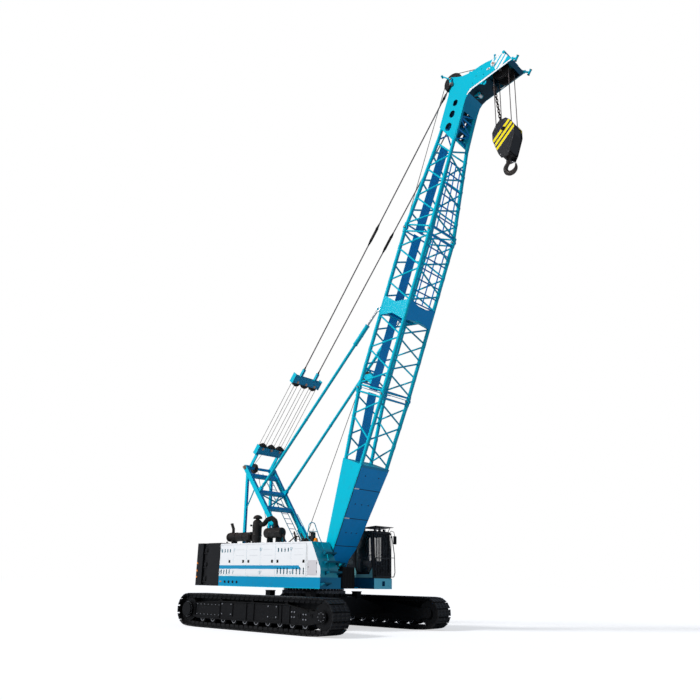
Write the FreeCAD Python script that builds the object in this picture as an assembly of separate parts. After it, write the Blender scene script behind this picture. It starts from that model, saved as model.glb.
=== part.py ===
import FreeCAD, Part

import math
import os

from FreeCAD import Placement, Rotation, Vector

# A dynamic compaction machine: a crawler base machine with a heavy lattice boom,
# braced by a gantry, stays and back stops, with a block and hook under its head.
# Millimetres. +X is forward, +Y is the operator's left, +Z is up.
# The origin is on the slewing axis, at ground level.

# ---------------------------------------------------------------- driving dimensions
# Tracks
WHEEL_SPAN = 7025.0        # idler centre to drive wheel centre
LOOP_RADIUS = 582.5        # outside of the shoes round a wheel
WHEEL_RISE = 30.0          # wheels stand this much above the level ground run
GROUND_HALF = 2900.0       # half the level run on the ground
SHOE_WIDTH = 850.0
SHOE_THICK = 70.0
SHOE_GAP = 26.0
SHOE_COUNT = 68
WEB_THICK = 25.0           # hinge web under the shoe plates
RAIL_DEPTH = 75.0          # link rails below the web
RAIL_INNER = 145.0         # rails, measured from the track's centre line
RAIL_OUTER = 255.0
TRACK_WIDTH_OVERALL = 6705.0

# Track frames
FRAME_HALF = 300.0
FRAME_BOTTOM = 500.0
FRAME_DECK = 800.0         # top of the box girder
FRAME_RAIL = 960.0         # top of the side plates that stand beside the carrier rollers
FRAME_REACH = 3120.0       # the girder ends this far from the middle
NOSE_TOP = 790.0           # side plates over the idler end
SKIRT_BOTTOM = 320.0
SIDE_PLATE = 30.0
CHEEK_THICK = 40.0
ROLLER_RADIUS = 160.0
ROLLER_COUNT = 10
ROLLER_REACH = 2700.0
ROLLER_FLATS = 16
CARRIER_RADIUS = 80.0
CARRIER_XS = (-1750.0, 0.0, 1750.0)
HUB_RADIUS = 140.0
IDLER_BORE = 80.0
SPROCKET_TEETH = 11

# Carbody and slewing ring
CARBODY_HALF = 1300.0
CARBODY_TOP = 1150.0
CARBODY_BOTTOM = 500.0
BEAM_X = (650.0, 1350.0)
PEDESTAL_RADIUS = 1230.0
RING_LOW = 1270.0
RING_SPLIT = 1360.0
RING_RADIUS = 1200.0
RING_BORE = 1000.0
RING_TEETH = 48
RING_TOOTH = 28.0
POST_CENTRE = (1080.0, 1290.0)
POST_SIZE = 260.0
POST_TOP = 1330.0

# Upper works
DECK_LOW = 1449.0
DECK_HIGH = 1840.0
HOUSE_TOP = 3100.0
HOUSE_REAR = -3806.0
HOUSE_FRONT = 1870.0
HOUSE_TOP_FRONT = 1389.0
HOUSE_KNEE = 2160.0
HOUSE_HALF = 1650.0
HOUSE_INNER = 900.0
NOSE_REAR = 330.0
WALL = 40.0
NOSE_INNER = 700.0
BAY_SEAMS = (-3806.0, -2984.0, -2174.0, -1358.0, -521.0, 328.0, 1133.0)
COUNTERWEIGHT_REAR = -5325.0
COUNTERWEIGHT_TOP = 3140.0
COUNTERWEIGHT_SLABS = 3
SLAB_GROOVE = (-4950.0, -4600.0, 90.0)   # from, to, depth

# Boom, in its own axes: s along it from the foot pin, y across, t towards its back
BOOM_ANGLE = 69.4
FOOT_X = 1000.0
FOOT_Z = 2050.0
FOOT_PIN_RADIUS = 70.0
PLATED = 4300.0            # the foot is a plated box up to here
JOINT_1 = 7050.0
JOINT_2 = 13600.0
BAND = (10080.0, 10680.0)  # plated band that takes the back stops
HEAD_START = 17400.0
HEAD_HALF = 510.0
CHORD_RADIUS = 75.0
BRACE_RADIUS = 35.0
BRACE_FLATS = 8
# outer faces at stations along the boom: s, half width, front t, rear t
BOOM_STATIONS = ((0.0, 420.0, -140.0, 140.0), (1000.0, 640.0, -245.0, 200.0), (PLATED, 840.0, -589.0, 395.0),
                 (JOINT_1, 870.0, -650.0, 735.0), (JOINT_2, 870.0, -650.0, 735.0),
                 (HEAD_START, HEAD_HALF + 30, -280.0, 665.0))

# Running clearances
FIT = 0.05                 # radial, pin in its bore
SIDE = 5.0                 # beside an eye or a hub, at a pin
SEAT = 0.3                 # between faces of bodies that turn on each other


# ---------------------------------------------------------------- shape helpers
def box(x0, x1, y0, y1, z0, z1):
    return Part.makeBox(x1 - x0, y1 - y0, z1 - z0, Vector(x0, y0, z0))


def rod(start, end, radius):
    axis = end - start
    return Part.makeCylinder(radius, axis.Length, start, axis)


def rod_y(x, z, y0, y1, radius):
    return Part.makeCylinder(radius, y1 - y0, Vector(x, y0, z), Vector(0, 1, 0))


def rod_z(x, y, z0, z1, radius):
    return Part.makeCylinder(radius, z1 - z0, Vector(x, y, z0), Vector(0, 0, 1))


def polygon(points):
    return Part.Face(Part.makePolygon(list(points) + [points[0]]))


def plate_y(points, y0, y1):
    """A plate with an outline in X and Z, from y0 to y1."""
    face = polygon([Vector(x, y0, z) for x, z in points])
    return face.extrude(Vector(0, y1 - y0, 0))


def plate_x(points, x0, x1):
    """A plate with an outline in Y and Z, from x0 to x1."""
    face = polygon([Vector(x0, y, z) for y, z in points])
    return face.extrude(Vector(x1 - x0, 0, 0))


def plate_z(points, z0, z1):
    """A plate with an outline in X and Y, from z0 to z1."""
    face = polygon([Vector(x, y, z0) for x, y in points])
    return face.extrude(Vector(0, 0, z1 - z0))


def across(side, near, far):
    """Low and high Y of something between two distances from the middle, on one side."""
    return sorted((side * near, side * far))


def flat_sided(start, end, radius, flats):
    """A bar with flats, for the light tubes and rollers that repeat many times."""
    axis = end - start
    helper = Vector(0, 1, 0) if abs(axis.y) < 0.9 * axis.Length else Vector(0, 0, 1)
    u = axis.cross(helper).normalize() * radius
    v = axis.cross(u).normalize() * radius
    turns = [2 * math.pi * i / flats for i in range(flats)]
    return polygon([start + u * math.cos(turn) + v * math.sin(turn) for turn in turns]).extrude(axis)


def fuse(shapes):
    whole = shapes[0].multiFuse(shapes[1:]) if len(shapes) > 1 else shapes[0]
    return whole.removeSplitter()


def beam(start, end, width, depth, up=Vector(0, 0, 1)):
    """A rectangular bar between two points: width across, depth along up."""
    axis = end - start
    across = up.cross(axis)
    across.normalize()
    deep = axis.cross(across)
    deep.normalize()
    corners = []
    for a, b in ((-1, -1), (1, -1), (1, 1), (-1, 1)):
        corners.append(start + across * (a * width / 2) + deep * (b * depth / 2))
    return polygon(corners).extrude(axis)


def revolve_y(profile, x, z, y_mid=0.0):
    """A turned part about a cross axis: profile holds (radius, y) points."""
    points = [Vector(x + r, y_mid + y, z) for r, y in profile]
    return polygon(points).revolve(Vector(x, y_mid, z), Vector(0, 1, 0), 360)


def save(name, shapes):
    shapes = shapes if isinstance(shapes, list) else [shapes]
    solids = [solid for shape in shapes for solid in shape.Solids]
    result = solids[0] if len(solids) == 1 else Part.makeCompound(solids)
    if not result.isValid():
        print("not valid:", name)
    result.exportStep("parts/" + name + ".step")


# ---------------------------------------------------------------- tracks
TRACK_Y = (TRACK_WIDTH_OVERALL - SHOE_WIDTH) / 2
WHEEL_X = WHEEL_SPAN / 2
WHEEL_Z = LOOP_RADIUS + WHEEL_RISE
BELT_DEPTH = SHOE_THICK + WEB_THICK + RAIL_DEPTH
TREAD_RADIUS = LOOP_RADIUS - BELT_DEPTH - 0.5
GUIDE_RADIUS = LOOP_RADIUS - SHOE_THICK - WEB_THICK - 15


def ramp_angle():
    """Slope of the belt between the level run and a wheel."""
    dx = WHEEL_X - GROUND_HALF
    reach = math.hypot(dx, WHEEL_Z)
    return math.atan2(WHEEL_Z, dx) - math.asin(LOOP_RADIUS / reach)


def belt_corners(inset):
    """Front half of the belt line, inset from the outside: corner, tangent, middle, top."""
    slope = ramp_angle()
    radius = LOOP_RADIUS - inset
    corner = Vector(GROUND_HALF - inset * math.tan(slope / 2), 0, inset)
    tangent = Vector(WHEEL_X + radius * math.sin(slope), 0, WHEEL_Z - radius * math.cos(slope))
    middle = Vector(WHEEL_X + radius * math.cos(slope / 2), 0, WHEEL_Z + radius * math.sin(slope / 2))
    top = Vector(WHEEL_X, 0, WHEEL_Z + radius)
    return corner, tangent, middle, top


def flipped(point):
    return Vector(-point.x, point.y, point.z)


def belt_line(inset):
    corner, tangent, middle, top = belt_corners(inset)
    return Part.Wire([
        Part.makeLine(flipped(corner), corner),
        Part.makeLine(corner, tangent),
        Part.Arc(tangent, middle, top).toShape(),
        Part.makeLine(top, flipped(top)),
        Part.Arc(flipped(top), flipped(middle), flipped(tangent)).toShape(),
        Part.makeLine(flipped(tangent), flipped(corner)),
    ])


def shoe_outline():
    """Every shoe is a flat plate whose ends stand on the belt line."""
    ends = belt_line(SHOE_THICK).discretize(Number=SHOE_COUNT + 1)
    points = []
    for start, end in zip(ends[:-1], ends[1:]):
        along = (end - start).normalize()
        out = Vector(along.z, 0, -along.x)
        a = start + along * (SHOE_GAP / 2)
        b = end - along * (SHOE_GAP / 2)
        points += [a, a + out * SHOE_THICK, b + out * SHOE_THICK, b]
    return Part.makePolygon(points + [points[0]])


def ring_of(outer, inner, y0, y1):
    face = Part.Face(outer).cut(Part.Face(inner))
    ring = face.extrude(Vector(0, y1 - y0, 0))
    ring.translate(Vector(0, y0, 0))
    return ring


def track(side):
    y = side * TRACK_Y
    shoes = ring_of(shoe_outline(), belt_line(SHOE_THICK + WEB_THICK), y - SHOE_WIDTH / 2, y + SHOE_WIDTH / 2)
    rails = []
    for flank in (-1, 1):
        y0 = y + flank * (RAIL_INNER + RAIL_OUTER) / 2 - (RAIL_OUTER - RAIL_INNER) / 2
        rails.append(ring_of(belt_line(SHOE_THICK + WEB_THICK - 5), belt_line(BELT_DEPTH),
                             y0, y0 + RAIL_OUTER - RAIL_INNER))
    return fuse([shoes] + rails)


def drive_sprocket(side):
    """Two treads for the rails, with a toothed wheel between them."""
    y = side * TRACK_Y
    treads = rod_y(-WHEEL_X, WHEEL_Z, y - RAIL_OUTER, y + RAIL_OUTER, TREAD_RADIUS)
    teeth = []
    half = math.pi / SPROCKET_TEETH
    for i in range(SPROCKET_TEETH):
        outline = []
        for offset, radius in ((-0.75, 0.98 * TREAD_RADIUS), (-0.35, GUIDE_RADIUS),
                               (0.35, GUIDE_RADIUS), (0.75, 0.98 * TREAD_RADIUS)):
            angle = (2 * i + offset) * half
            outline.append((-WHEEL_X + radius * math.cos(angle), WHEEL_Z + radius * math.sin(angle)))
        teeth.append(plate_y(outline, y - RAIL_INNER + 25, y + RAIL_INNER - 25))
    return fuse([treads] + teeth)


def idler(side):
    """Two treads with a guide rim between them."""
    profile = [(IDLER_BORE, -RAIL_OUTER), (TREAD_RADIUS, -RAIL_OUTER), (TREAD_RADIUS, -RAIL_INNER + 25),
               (GUIDE_RADIUS, -RAIL_INNER + 25)]
    profile += [(r, -offset) for r, offset in reversed(profile)]
    return revolve_y(profile, WHEEL_X, WHEEL_Z, side * TRACK_Y)


def idler_axle(side):
    y = side * TRACK_Y
    reach = FRAME_HALF - SIDE_PLATE
    return rod_y(WHEEL_X, WHEEL_Z, y - reach, y + reach, IDLER_BORE - FIT)


def bottom_roller(x, side):
    """A roller on a square shaft, held between the two side plates."""
    y = side * TRACK_Y
    reach = FRAME_HALF - SIDE_PLATE
    z = BELT_DEPTH + ROLLER_RADIUS
    half = RAIL_OUTER - 25
    tread = flat_sided(Vector(x, y - half, z), Vector(x, y + half, z), ROLLER_RADIUS, ROLLER_FLATS)
    return fuse([tread, box(x - 45, x + 45, y - reach, y + reach, z - 45, z + 45)])


def roller_places():
    step = 2 * ROLLER_REACH / (ROLLER_COUNT - 1)
    return [-ROLLER_REACH + i * step for i in range(ROLLER_COUNT)]


CARRIER_Z = WHEEL_Z + TREAD_RADIUS - CARRIER_RADIUS


def carrier_roller(x, side):
    """A small roller under the upper run, between the side plates."""
    y = side * TRACK_Y
    reach = FRAME_HALF - SIDE_PLATE
    tread = flat_sided(Vector(x, y - RAIL_OUTER + 40, CARRIER_Z), Vector(x, y + RAIL_OUTER - 40, CARRIER_Z),
                       CARRIER_RADIUS, ROLLER_FLATS)
    return fuse([tread, box(x - 30, x + 30, y - reach, y + reach, CARRIER_Z - 30, CARRIER_Z + 12)])


def side_plate_outline():
    """Skirt below the girder, raised rails above it, and lower ends round the two wheels."""
    return [(-WHEEL_X, WHEEL_Z - 170), (-FRAME_REACH + 150, SKIRT_BOTTOM), (2850, SKIRT_BOTTOM),
            (WHEEL_X, WHEEL_Z - 170), (WHEEL_X, WHEEL_Z + 150), (2880, NOSE_TOP), (1880, FRAME_RAIL),
            (-1600, FRAME_RAIL), (-FRAME_REACH, 860), (-WHEEL_X, WHEEL_Z + 170)]


def track_frame(side):
    """Box girder between two long side plates, with thick cheeks round the wheel centres."""
    y = side * TRACK_Y
    pieces = [box(-WHEEL_X + GUIDE_RADIUS + 30, WHEEL_X - GUIDE_RADIUS - 30, y - FRAME_HALF, y + FRAME_HALF,
                  FRAME_BOTTOM, FRAME_DECK)]
    for flank in (-1, 1):
        y0, y1 = sorted((y + flank * FRAME_HALF, y + flank * (FRAME_HALF - SIDE_PLATE)))
        pieces.append(plate_y(side_plate_outline(), y0, y1))
        y0, y1 = sorted((y + flank * (FRAME_HALF - SIDE_PLATE), y + flank * (FRAME_HALF + CHEEK_THICK)))
        for end in (-1, 1):
            pieces.append(rod_y(end * WHEEL_X, WHEEL_Z, y0, y1, 190))
    # bolted boxes on the outer flank, over the ends of the two cross beams
    y0, y1 = sorted((y + side * (FRAME_HALF - 5), y + side * (FRAME_HALF + 25)))
    for x0, x1 in ((-1570, -930), (900, 1450)):
        pieces.append(box(x0, x1, y0, y1, 450, FRAME_RAIL - 60))
    hub_bore = rod_y(-WHEEL_X, WHEEL_Z, y - SHOE_WIDTH, y + SHOE_WIDTH, HUB_RADIUS + FIT)
    return fuse(pieces).cut(hub_bore)


def final_drive(side):
    """Planetary gear case on the outer side of the drive wheel, motor case on the inner side."""
    cheek = FRAME_HALF + CHEEK_THICK
    cases = []
    for way, radius, length in ((side, 250, 90), (-side, 230, 240)):
        case = rod_y(-WHEEL_X, WHEEL_Z, *across(way, cheek, cheek + length), radius)
        hub = rod_y(-WHEEL_X, WHEEL_Z, *across(way, RAIL_OUTER, cheek + 5), HUB_RADIUS)
        drive = fuse([case, hub])
        drive.translate(Vector(0, side * TRACK_Y, 0))
        cases.append(drive)
    return cases


# ---------------------------------------------------------------- carbody and slewing ring
def carbody():
    inner = TRACK_Y - FRAME_HALF
    corner = 350
    half = CARBODY_HALF
    plan = [(-half, -half + corner), (-half + corner, -half), (half - corner, -half), (half, -half + corner),
            (half, half - corner), (half - corner, half), (-half + corner, half), (-half, half - corner)]
    pieces = [plate_z(plan, CARBODY_BOTTOM, CARBODY_TOP),
              rod_z(0, 0, CARBODY_TOP - 5, RING_LOW, PEDESTAL_RADIUS)]
    section = [(-inner, 520), (inner, 520), (inner, 790), (half, 1080), (-half, 1080), (-inner, 790)]
    for end in (-1, 1):
        x0, x1 = sorted(end * x for x in BEAM_X)
        pieces.append(plate_x(section, x0, x1))
        for side in (-1, 1):
            x, y = end * POST_CENTRE[0], side * POST_CENTRE[1]
            post = POST_SIZE / 2
            pieces.append(box(x - post, x + post, y - post, y + post, 1000, POST_TOP))
    body = fuse(pieces)
    return body.cut(rod_z(0, 0, CARBODY_BOTTOM - 10, RING_LOW + 10, RING_BORE - 60))


def ring_teeth():
    """Gear outline round the fixed half of the slewing ring."""
    points = []
    step = 2 * math.pi / RING_TEETH
    for i in range(RING_TEETH):
        for share, radius in ((0.0, RING_RADIUS), (0.25, RING_RADIUS), (0.38, RING_RADIUS + RING_TOOTH),
                              (0.87, RING_RADIUS + RING_TOOTH)):
            angle = (i + share) * step
            points.append((radius * math.cos(angle), radius * math.sin(angle)))
    return points


def slewing_ring_fixed():
    gear = plate_z(ring_teeth(), RING_LOW, RING_SPLIT)
    return gear.cut(rod_z(0, 0, RING_LOW - 10, RING_SPLIT + 10, RING_BORE))


def slewing_ring_turning():
    ring = rod_z(0, 0, RING_SPLIT + SEAT, DECK_LOW, RING_RADIUS - 40)
    return ring.cut(rod_z(0, 0, RING_SPLIT - 10, DECK_LOW + 10, RING_BORE))


# ---------------------------------------------------------------- revolving frame
GIRDER_INNER = 530.0
GIRDER_OUTER = 590.0
GIRDER_TOP = 2100.0
FLOOR_TOP = DECK_LOW + 60
FLOOR_HALF = 850.0         # half width of the frame's floor, between the two decks
FRAME_FRONT = 1520.0
CROSS_PLATE = 60.0
FOOT_EYE_Y = (380.0, 460.0)
FOOT_EYE_RADIUS = 140.0
EAR = 40.0                 # thickness of a pin ear
GANTRY_FOOT = Vector(-450, 0, 2250)
REAR_FOOT = Vector(-3470, 0, 2250)
GANTRY_PIN = 50.0
GANTRY_Y = 700.0           # middle of the gantry's feet
CAB_X = (330.0, 2150.0)
CAB_Y = (1025.0, 2121.0)
CAB_TOP = 3600.0
CAB_KNEE = 2700.0
CAB_LEAN = (20.0, 70.0)      # the front leans back this much below and above its knee
CAB_WALL = 45.0
CAB_FLOOR = DECK_HIGH + 60
DOOR_X = (900.0, 1700.0)
PLATFORM_X = (120.0, 2185.0)


def foot_ear_rows():
    """The two plates of a boom foot bracket, either side of the boom's eye."""
    near, far = FOOT_EYE_Y[0] - SIDE, FOOT_EYE_Y[1] + SIDE
    return ((near - EAR, near), (far, far + EAR))


def revolving_frame():
    """Floor, two long girders, cross plates, and the forks for the boom and gantry feet."""
    pieces = [box(HOUSE_REAR, FRAME_FRONT, -FLOOR_HALF, FLOOR_HALF, DECK_LOW, FLOOR_TOP),
              box(PLATFORM_X[0], 1040, FLOOR_HALF - 5, CAB_Y[0], DECK_LOW, DECK_LOW + 300)]
    girder = [(HOUSE_REAR, FLOOR_TOP - 5), (FRAME_FRONT, FLOOR_TOP - 5), (FRAME_FRONT, DECK_HIGH),
              (FRAME_FRONT - 320, GIRDER_TOP), (HOUSE_REAR, GIRDER_TOP)]
    for side in (-1, 1):
        pieces.append(plate_y(girder, *across(side, GIRDER_INNER, GIRDER_OUTER)))
    for x in (HOUSE_REAR, -1500, FRAME_FRONT - CROSS_PLATE):
        pieces.append(box(x, x + CROSS_PLATE, -GIRDER_INNER - 5, GIRDER_INNER + 5, FLOOR_TOP - 5, DECK_HIGH))
    boom_ear = [(FOOT_X - 260, FLOOR_TOP - 5), (FOOT_X + 300, FLOOR_TOP - 5),
                (FOOT_X + FOOT_EYE_RADIUS, FOOT_Z), (FOOT_X + 70, FOOT_Z + 120),
                (FOOT_X - 70, FOOT_Z + 120), (FOOT_X - FOOT_EYE_RADIUS, FOOT_Z)]
    for side in (-1, 1):
        for near, far in foot_ear_rows():
            pieces.append(plate_y(boom_ear, *across(side, near, far)))
    for foot in (GANTRY_FOOT, REAR_FOOT):
        ear = [(foot.x - 170, GIRDER_TOP - 290), (foot.x + 170, GIRDER_TOP - 290), (foot.x + 90, foot.z + 60),
               (foot.x + 45, foot.z + 95), (foot.x - 45, foot.z + 95), (foot.x - 90, foot.z + 60)]
        for side in (-1, 1):
            for near in (GIRDER_OUTER - 5, GANTRY_Y + 90):
                pieces.append(plate_y(ear, *across(side, near, near + 35)))
            seat = across(side, GIRDER_OUTER - 5, GANTRY_Y + 125)
            pieces.append(box(foot.x - 170, foot.x + 170, *seat, GIRDER_TOP - 290, GIRDER_TOP - 250))
    bores = [rod_y(FOOT_X, FOOT_Z, -700, 700, FOOT_PIN_RADIUS + FIT)]
    bores += [rod_y(foot.x, foot.z, -900, 900, GANTRY_PIN + FIT) for foot in (GANTRY_FOOT, REAR_FOOT)]
    return fuse(pieces).cut(bores)


def foot_pins():
    inner, outer = foot_ear_rows()
    return [rod_y(FOOT_X, FOOT_Z, *across(side, inner[0] - 15, outer[1] + 15), FOOT_PIN_RADIUS)
            for side in (-1, 1)]


def right_deck():
    plan = [(HOUSE_REAR, -HOUSE_HALF), (HOUSE_FRONT, -HOUSE_HALF), (HOUSE_FRONT, -540), (FRAME_FRONT, -540),
            (FRAME_FRONT, -FLOOR_HALF), (HOUSE_REAR, -FLOOR_HALF)]
    return plate_z(plan, DECK_LOW, DECK_HIGH)


def left_deck():
    return box(HOUSE_REAR, LEFT_FRONT, FLOOR_HALF, HOUSE_HALF, DECK_LOW, DECK_HIGH)


# ---------------------------------------------------------------- machinery housings
LEFT_FRONT = 60.0
DOOR_LOW = DECK_HIGH + 40
DOOR_HIGH = HOUSE_TOP - 60
DOOR_THICK = 40.0
DOOR_GAP = 6.0
FRONT_HINGED = (2, 4)
HINGE_OUT = 10.0
HINGE_POST = 30.0
HINGE_RADIUS = 9.5
HINGE_LENGTH = 60.0
HINGE_ZS = (2000.0, 2850.0)
VENT_SLOTS = 4
VENT_SLOT = 55.0
# vents: bay, first and last X, low and high Z
VENTS = ((0, -3705.0, -3153.0, 2746.0, 2881.0), (0, -3705.0, -3153.0, 1915.0, 2090.0),
         (4, -383.0, 208.0, 2743.0, 2884.0), (4, -402.0, 190.0, 1935.0, 2170.0),
         (5, 440.0, 1040.0, 1935.0, 2170.0))


def house_profile(inset):
    """Outline of the housing: level roof, and a nose that slopes down to the front."""
    return [(HOUSE_REAR + inset, DECK_HIGH + inset), (HOUSE_FRONT - inset, DECK_HIGH + inset),
            (HOUSE_FRONT - inset, HOUSE_KNEE), (HOUSE_TOP_FRONT - inset, HOUSE_TOP - inset),
            (HOUSE_REAR + inset, HOUSE_TOP - inset)]


def door_span(index):
    """A door leaves a post at its hinge and a small gap at its latch."""
    rear, front = (DOOR_GAP, HINGE_POST) if index in FRONT_HINGED else (HINGE_POST, DOOR_GAP)
    return BAY_SEAMS[index] + rear, BAY_SEAMS[index + 1] - front


def hinge_line(index):
    """The X of a door's hinge, and the way from it towards the door."""
    x0, x1 = door_span(index)
    return (x1 + DOOR_GAP / 2, -1) if index in FRONT_HINGED else (x0 - DOOR_GAP / 2, 1)


def hinge_leaf(index, z0, z1, way, reach):
    """A barrel round the hinge line, with its leaf on the face towards way."""
    x = hinge_line(index)[0]
    leaf_x = sorted((x + way * 3.5, x + way * reach))
    y = -HOUSE_HALF - HINGE_OUT
    return fuse([rod_z(x, y, z0, z1, HINGE_RADIUS), box(*leaf_x, y - 2, -HOUSE_HALF, z0, z1)])


def right_housing():
    """Hollow housing with six door openings, and a wider nose that the boarding steps stand on."""
    outer = plate_y(house_profile(0), -HOUSE_HALF, -HOUSE_INNER)
    inner = plate_y(house_profile(WALL), -HOUSE_HALF + WALL, -HOUSE_INNER - WALL)
    shell = outer.cut(inner)
    nose = plate_y(house_profile(0), -HOUSE_INNER - 5, -NOSE_INNER)
    nose = nose.common(box(NOSE_REAR, HOUSE_FRONT, -HOUSE_HALF, 0, DECK_HIGH, HOUSE_TOP))
    pieces = [shell, nose]
    for index in range(len(BAY_SEAMS) - 1):
        x, way = hinge_line(index)
        for z in HINGE_ZS:
            pieces.append(hinge_leaf(index, z - HINGE_LENGTH - SEAT, z - SEAT, -way, HINGE_POST - DOOR_GAP))
    gaps = []
    for index in range(len(BAY_SEAMS) - 1):
        x0, x1 = door_span(index)
        gaps.append(box(x0 - DOOR_GAP / 2, x1 + DOOR_GAP / 2, -HOUSE_HALF, -HOUSE_HALF + WALL + 10,
                        DOOR_LOW - DOOR_GAP, DOOR_HIGH + DOOR_GAP))
    return fuse(pieces).cut(gaps)


def right_door(index):
    """One side door with its hinge leaves and, where it has them, its rows of vent slots."""
    x0, x1 = door_span(index)
    x, way = hinge_line(index)
    leaves = [hinge_leaf(index, z, z + HINGE_LENGTH, way, 60) for z in HINGE_ZS]
    door = fuse([box(x0, x1, -HOUSE_HALF, -HOUSE_HALF + DOOR_THICK, DOOR_LOW, DOOR_HIGH)] + leaves)
    slots = []
    for bay, first, last, z0, z1 in VENTS:
        if bay == index:
            step = (last - VENT_SLOT - first) / (VENT_SLOTS - 1)
            for i in range(VENT_SLOTS):
                a = first + i * step
                slots.append(box(a, a + VENT_SLOT, -HOUSE_HALF - 10, -HOUSE_HALF + DOOR_THICK + 10, z0, z1))
    return door.cut(slots) if slots else door


def left_housing():
    return box(HOUSE_REAR, LEFT_FRONT, HOUSE_INNER, HOUSE_HALF, DECK_HIGH, HOUSE_TOP)


def engine_block():
    return box(-2900, -700, -HOUSE_HALF + 120, -HOUSE_INNER - 80, DECK_HIGH + WALL, DECK_HIGH + 900)


def counterweight():
    """Stacked cast slabs, each with a groove and a lifting lug on both sides."""
    slabs = []
    height = (COUNTERWEIGHT_TOP - DECK_LOW) / COUNTERWEIGHT_SLABS
    x0, x1, depth = SLAB_GROOVE
    for i in range(COUNTERWEIGHT_SLABS):
        z0 = DECK_LOW + i * height
        z1 = z0 + height - SEAT
        slab = box(COUNTERWEIGHT_REAR, HOUSE_REAR - SEAT, -HOUSE_HALF, HOUSE_HALF, z0, z1)
        for side in (-1, 1):
            slab = slab.cut(box(x0, x1, *across(side, HOUSE_HALF - depth, HOUSE_HALF + 10), z0 - 1, z1 + 1))
            lug = rod_y((x0 + x1) / 2, (z0 + z1) / 2,
                        *across(side, HOUSE_HALF - depth - 5, HOUSE_HALF - 10), 45)
            slab = slab.fuse(lug)
        slabs.append(slab)
    return slabs


# treads: top Z, low and high Y
STEPS = ((2720.0, -1300.0, -720.0), (2400.0, -1400.0, -720.0), (2040.0, -1400.0, -720.0),
         (1650.0, -1630.0, -1290.0))
STEP_DEPTH = 230.0
STEP_THICK = 25.0
BRACKET_DEPTH = 120.0


def nose_x(z):
    """X just in front of the nose at height z."""
    slope = (HOUSE_FRONT - HOUSE_TOP_FRONT) / (HOUSE_TOP - HOUSE_KNEE)
    return HOUSE_FRONT + SEAT - max(0.0, z - HOUSE_KNEE) * slope


def boarding_steps():
    """Four treads in front of the nose, each on two brackets cut to the slope behind them."""
    steps = []
    for z, y0, y1 in STEPS:
        under = z - STEP_THICK
        tip = nose_x(z) + STEP_DEPTH
        tread = box(nose_x(under), tip, y0, y1, under, z)
        bracket = [(nose_x(under), under + 5), (nose_x(z - BRACKET_DEPTH), z - BRACKET_DEPTH),
                   (tip, under + 5)]
        steps.append(fuse([tread, plate_y(bracket, y0, y0 + 20), plate_y(bracket, y1 - 20, y1)]))
    return steps


# ---------------------------------------------------------------- exhaust and air intake on the roof
ROOF_Y = -1090.0
MUFFLER_X = (-3970.0, -2560.0)
MUFFLER_Z = 3390.0
MUFFLER_RADIUS = 175.0
EXHAUST = (-3740.0, 60.0)
CLEANER = (-2260.0, 190.0)
CANISTER_X = (-1690.0, -740.0)
CANISTER_Z = 3550.0
CANISTER_RADIUS = 175.0
HOSE_Z = 3930.0
HOSE_BEND = 200.0
HOSE_RADIUS = 85.0


def roof_saddle(x, z, radius, width=80.0):
    """A stand on the roof, under a drum that lies along the machine."""
    return box(x, x + width, ROOF_Y - radius * 0.7, ROOF_Y + radius * 0.7, HOUSE_TOP + SEAT, z - radius * 0.6)


def muffler():
    x0, x1 = MUFFLER_X
    drum = rod(Vector(x0, ROOF_Y, MUFFLER_Z), Vector(x1, ROOF_Y, MUFFLER_Z), MUFFLER_RADIUS)
    stub = rod_z(EXHAUST[0], ROOF_Y, MUFFLER_Z, MUFFLER_Z + 360, EXHAUST[1])
    bend = Vector(EXHAUST[0], ROOF_Y, MUFFLER_Z + 330)
    end = rod(bend, bend + Vector(-110, 0, 200), EXHAUST[1])
    saddles = [roof_saddle(x, MUFFLER_Z, MUFFLER_RADIUS) for x in (HOUSE_REAR + 120, x1 - 250)]
    return fuse([drum, stub, end] + saddles)


def air_cleaner():
    """Upright cleaner with a rain cap, a lying canister, and the hose between them."""
    x, radius = CLEANER
    pot = rod_z(x, ROOF_Y, HOUSE_TOP + SEAT, HOSE_Z + 80, radius)
    neck = rod_z(x, ROOF_Y, HOSE_Z + 75, HOSE_Z + 120, 90)
    cap = Part.makeCone(radius + 100, 60, 140, Vector(x, ROOF_Y, HOSE_Z + 110))
    canister = rod(*[Vector(end, ROOF_Y, CANISTER_Z) for end in CANISTER_X], CANISTER_RADIUS)
    saddles = [roof_saddle(at, CANISTER_Z, CANISTER_RADIUS)
               for at in (CANISTER_X[0] + 120, CANISTER_X[1] - 200)]
    down_x = (CANISTER_X[0] + CANISTER_X[1]) / 2 + 85
    turn = Vector(down_x - HOSE_BEND, ROOF_Y, HOSE_Z)
    below = Vector(down_x, ROOF_Y, HOSE_Z - HOSE_BEND)
    middle = turn + Vector(HOSE_BEND * math.sin(math.pi / 4), 0, HOSE_BEND * (math.cos(math.pi / 4) - 1))
    run = Part.Wire([Part.makeLine(Vector(x, ROOF_Y, HOSE_Z), turn), Part.Arc(turn, middle, below).toShape(),
                     Part.makeLine(below, Vector(down_x, ROOF_Y, CANISTER_Z))])
    mouth = Part.Wire(Part.makeCircle(HOSE_RADIUS, Vector(x, ROOF_Y, HOSE_Z), Vector(1, 0, 0)))
    hose = run.makePipeShell([mouth], True, False)
    return fuse([pot, neck, cap, canister, hose] + saddles)


# ---------------------------------------------------------------- cab
def cab_front(z):
    """X of the cab's raked front at height z."""
    if z < CAB_KNEE:
        return CAB_X[1] - CAB_LEAN[0] * (z - DECK_HIGH) / (CAB_KNEE - DECK_HIGH)
    return CAB_X[1] - CAB_LEAN[0] - CAB_LEAN[1] * (z - CAB_KNEE) / (CAB_TOP - CAB_KNEE)


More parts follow.
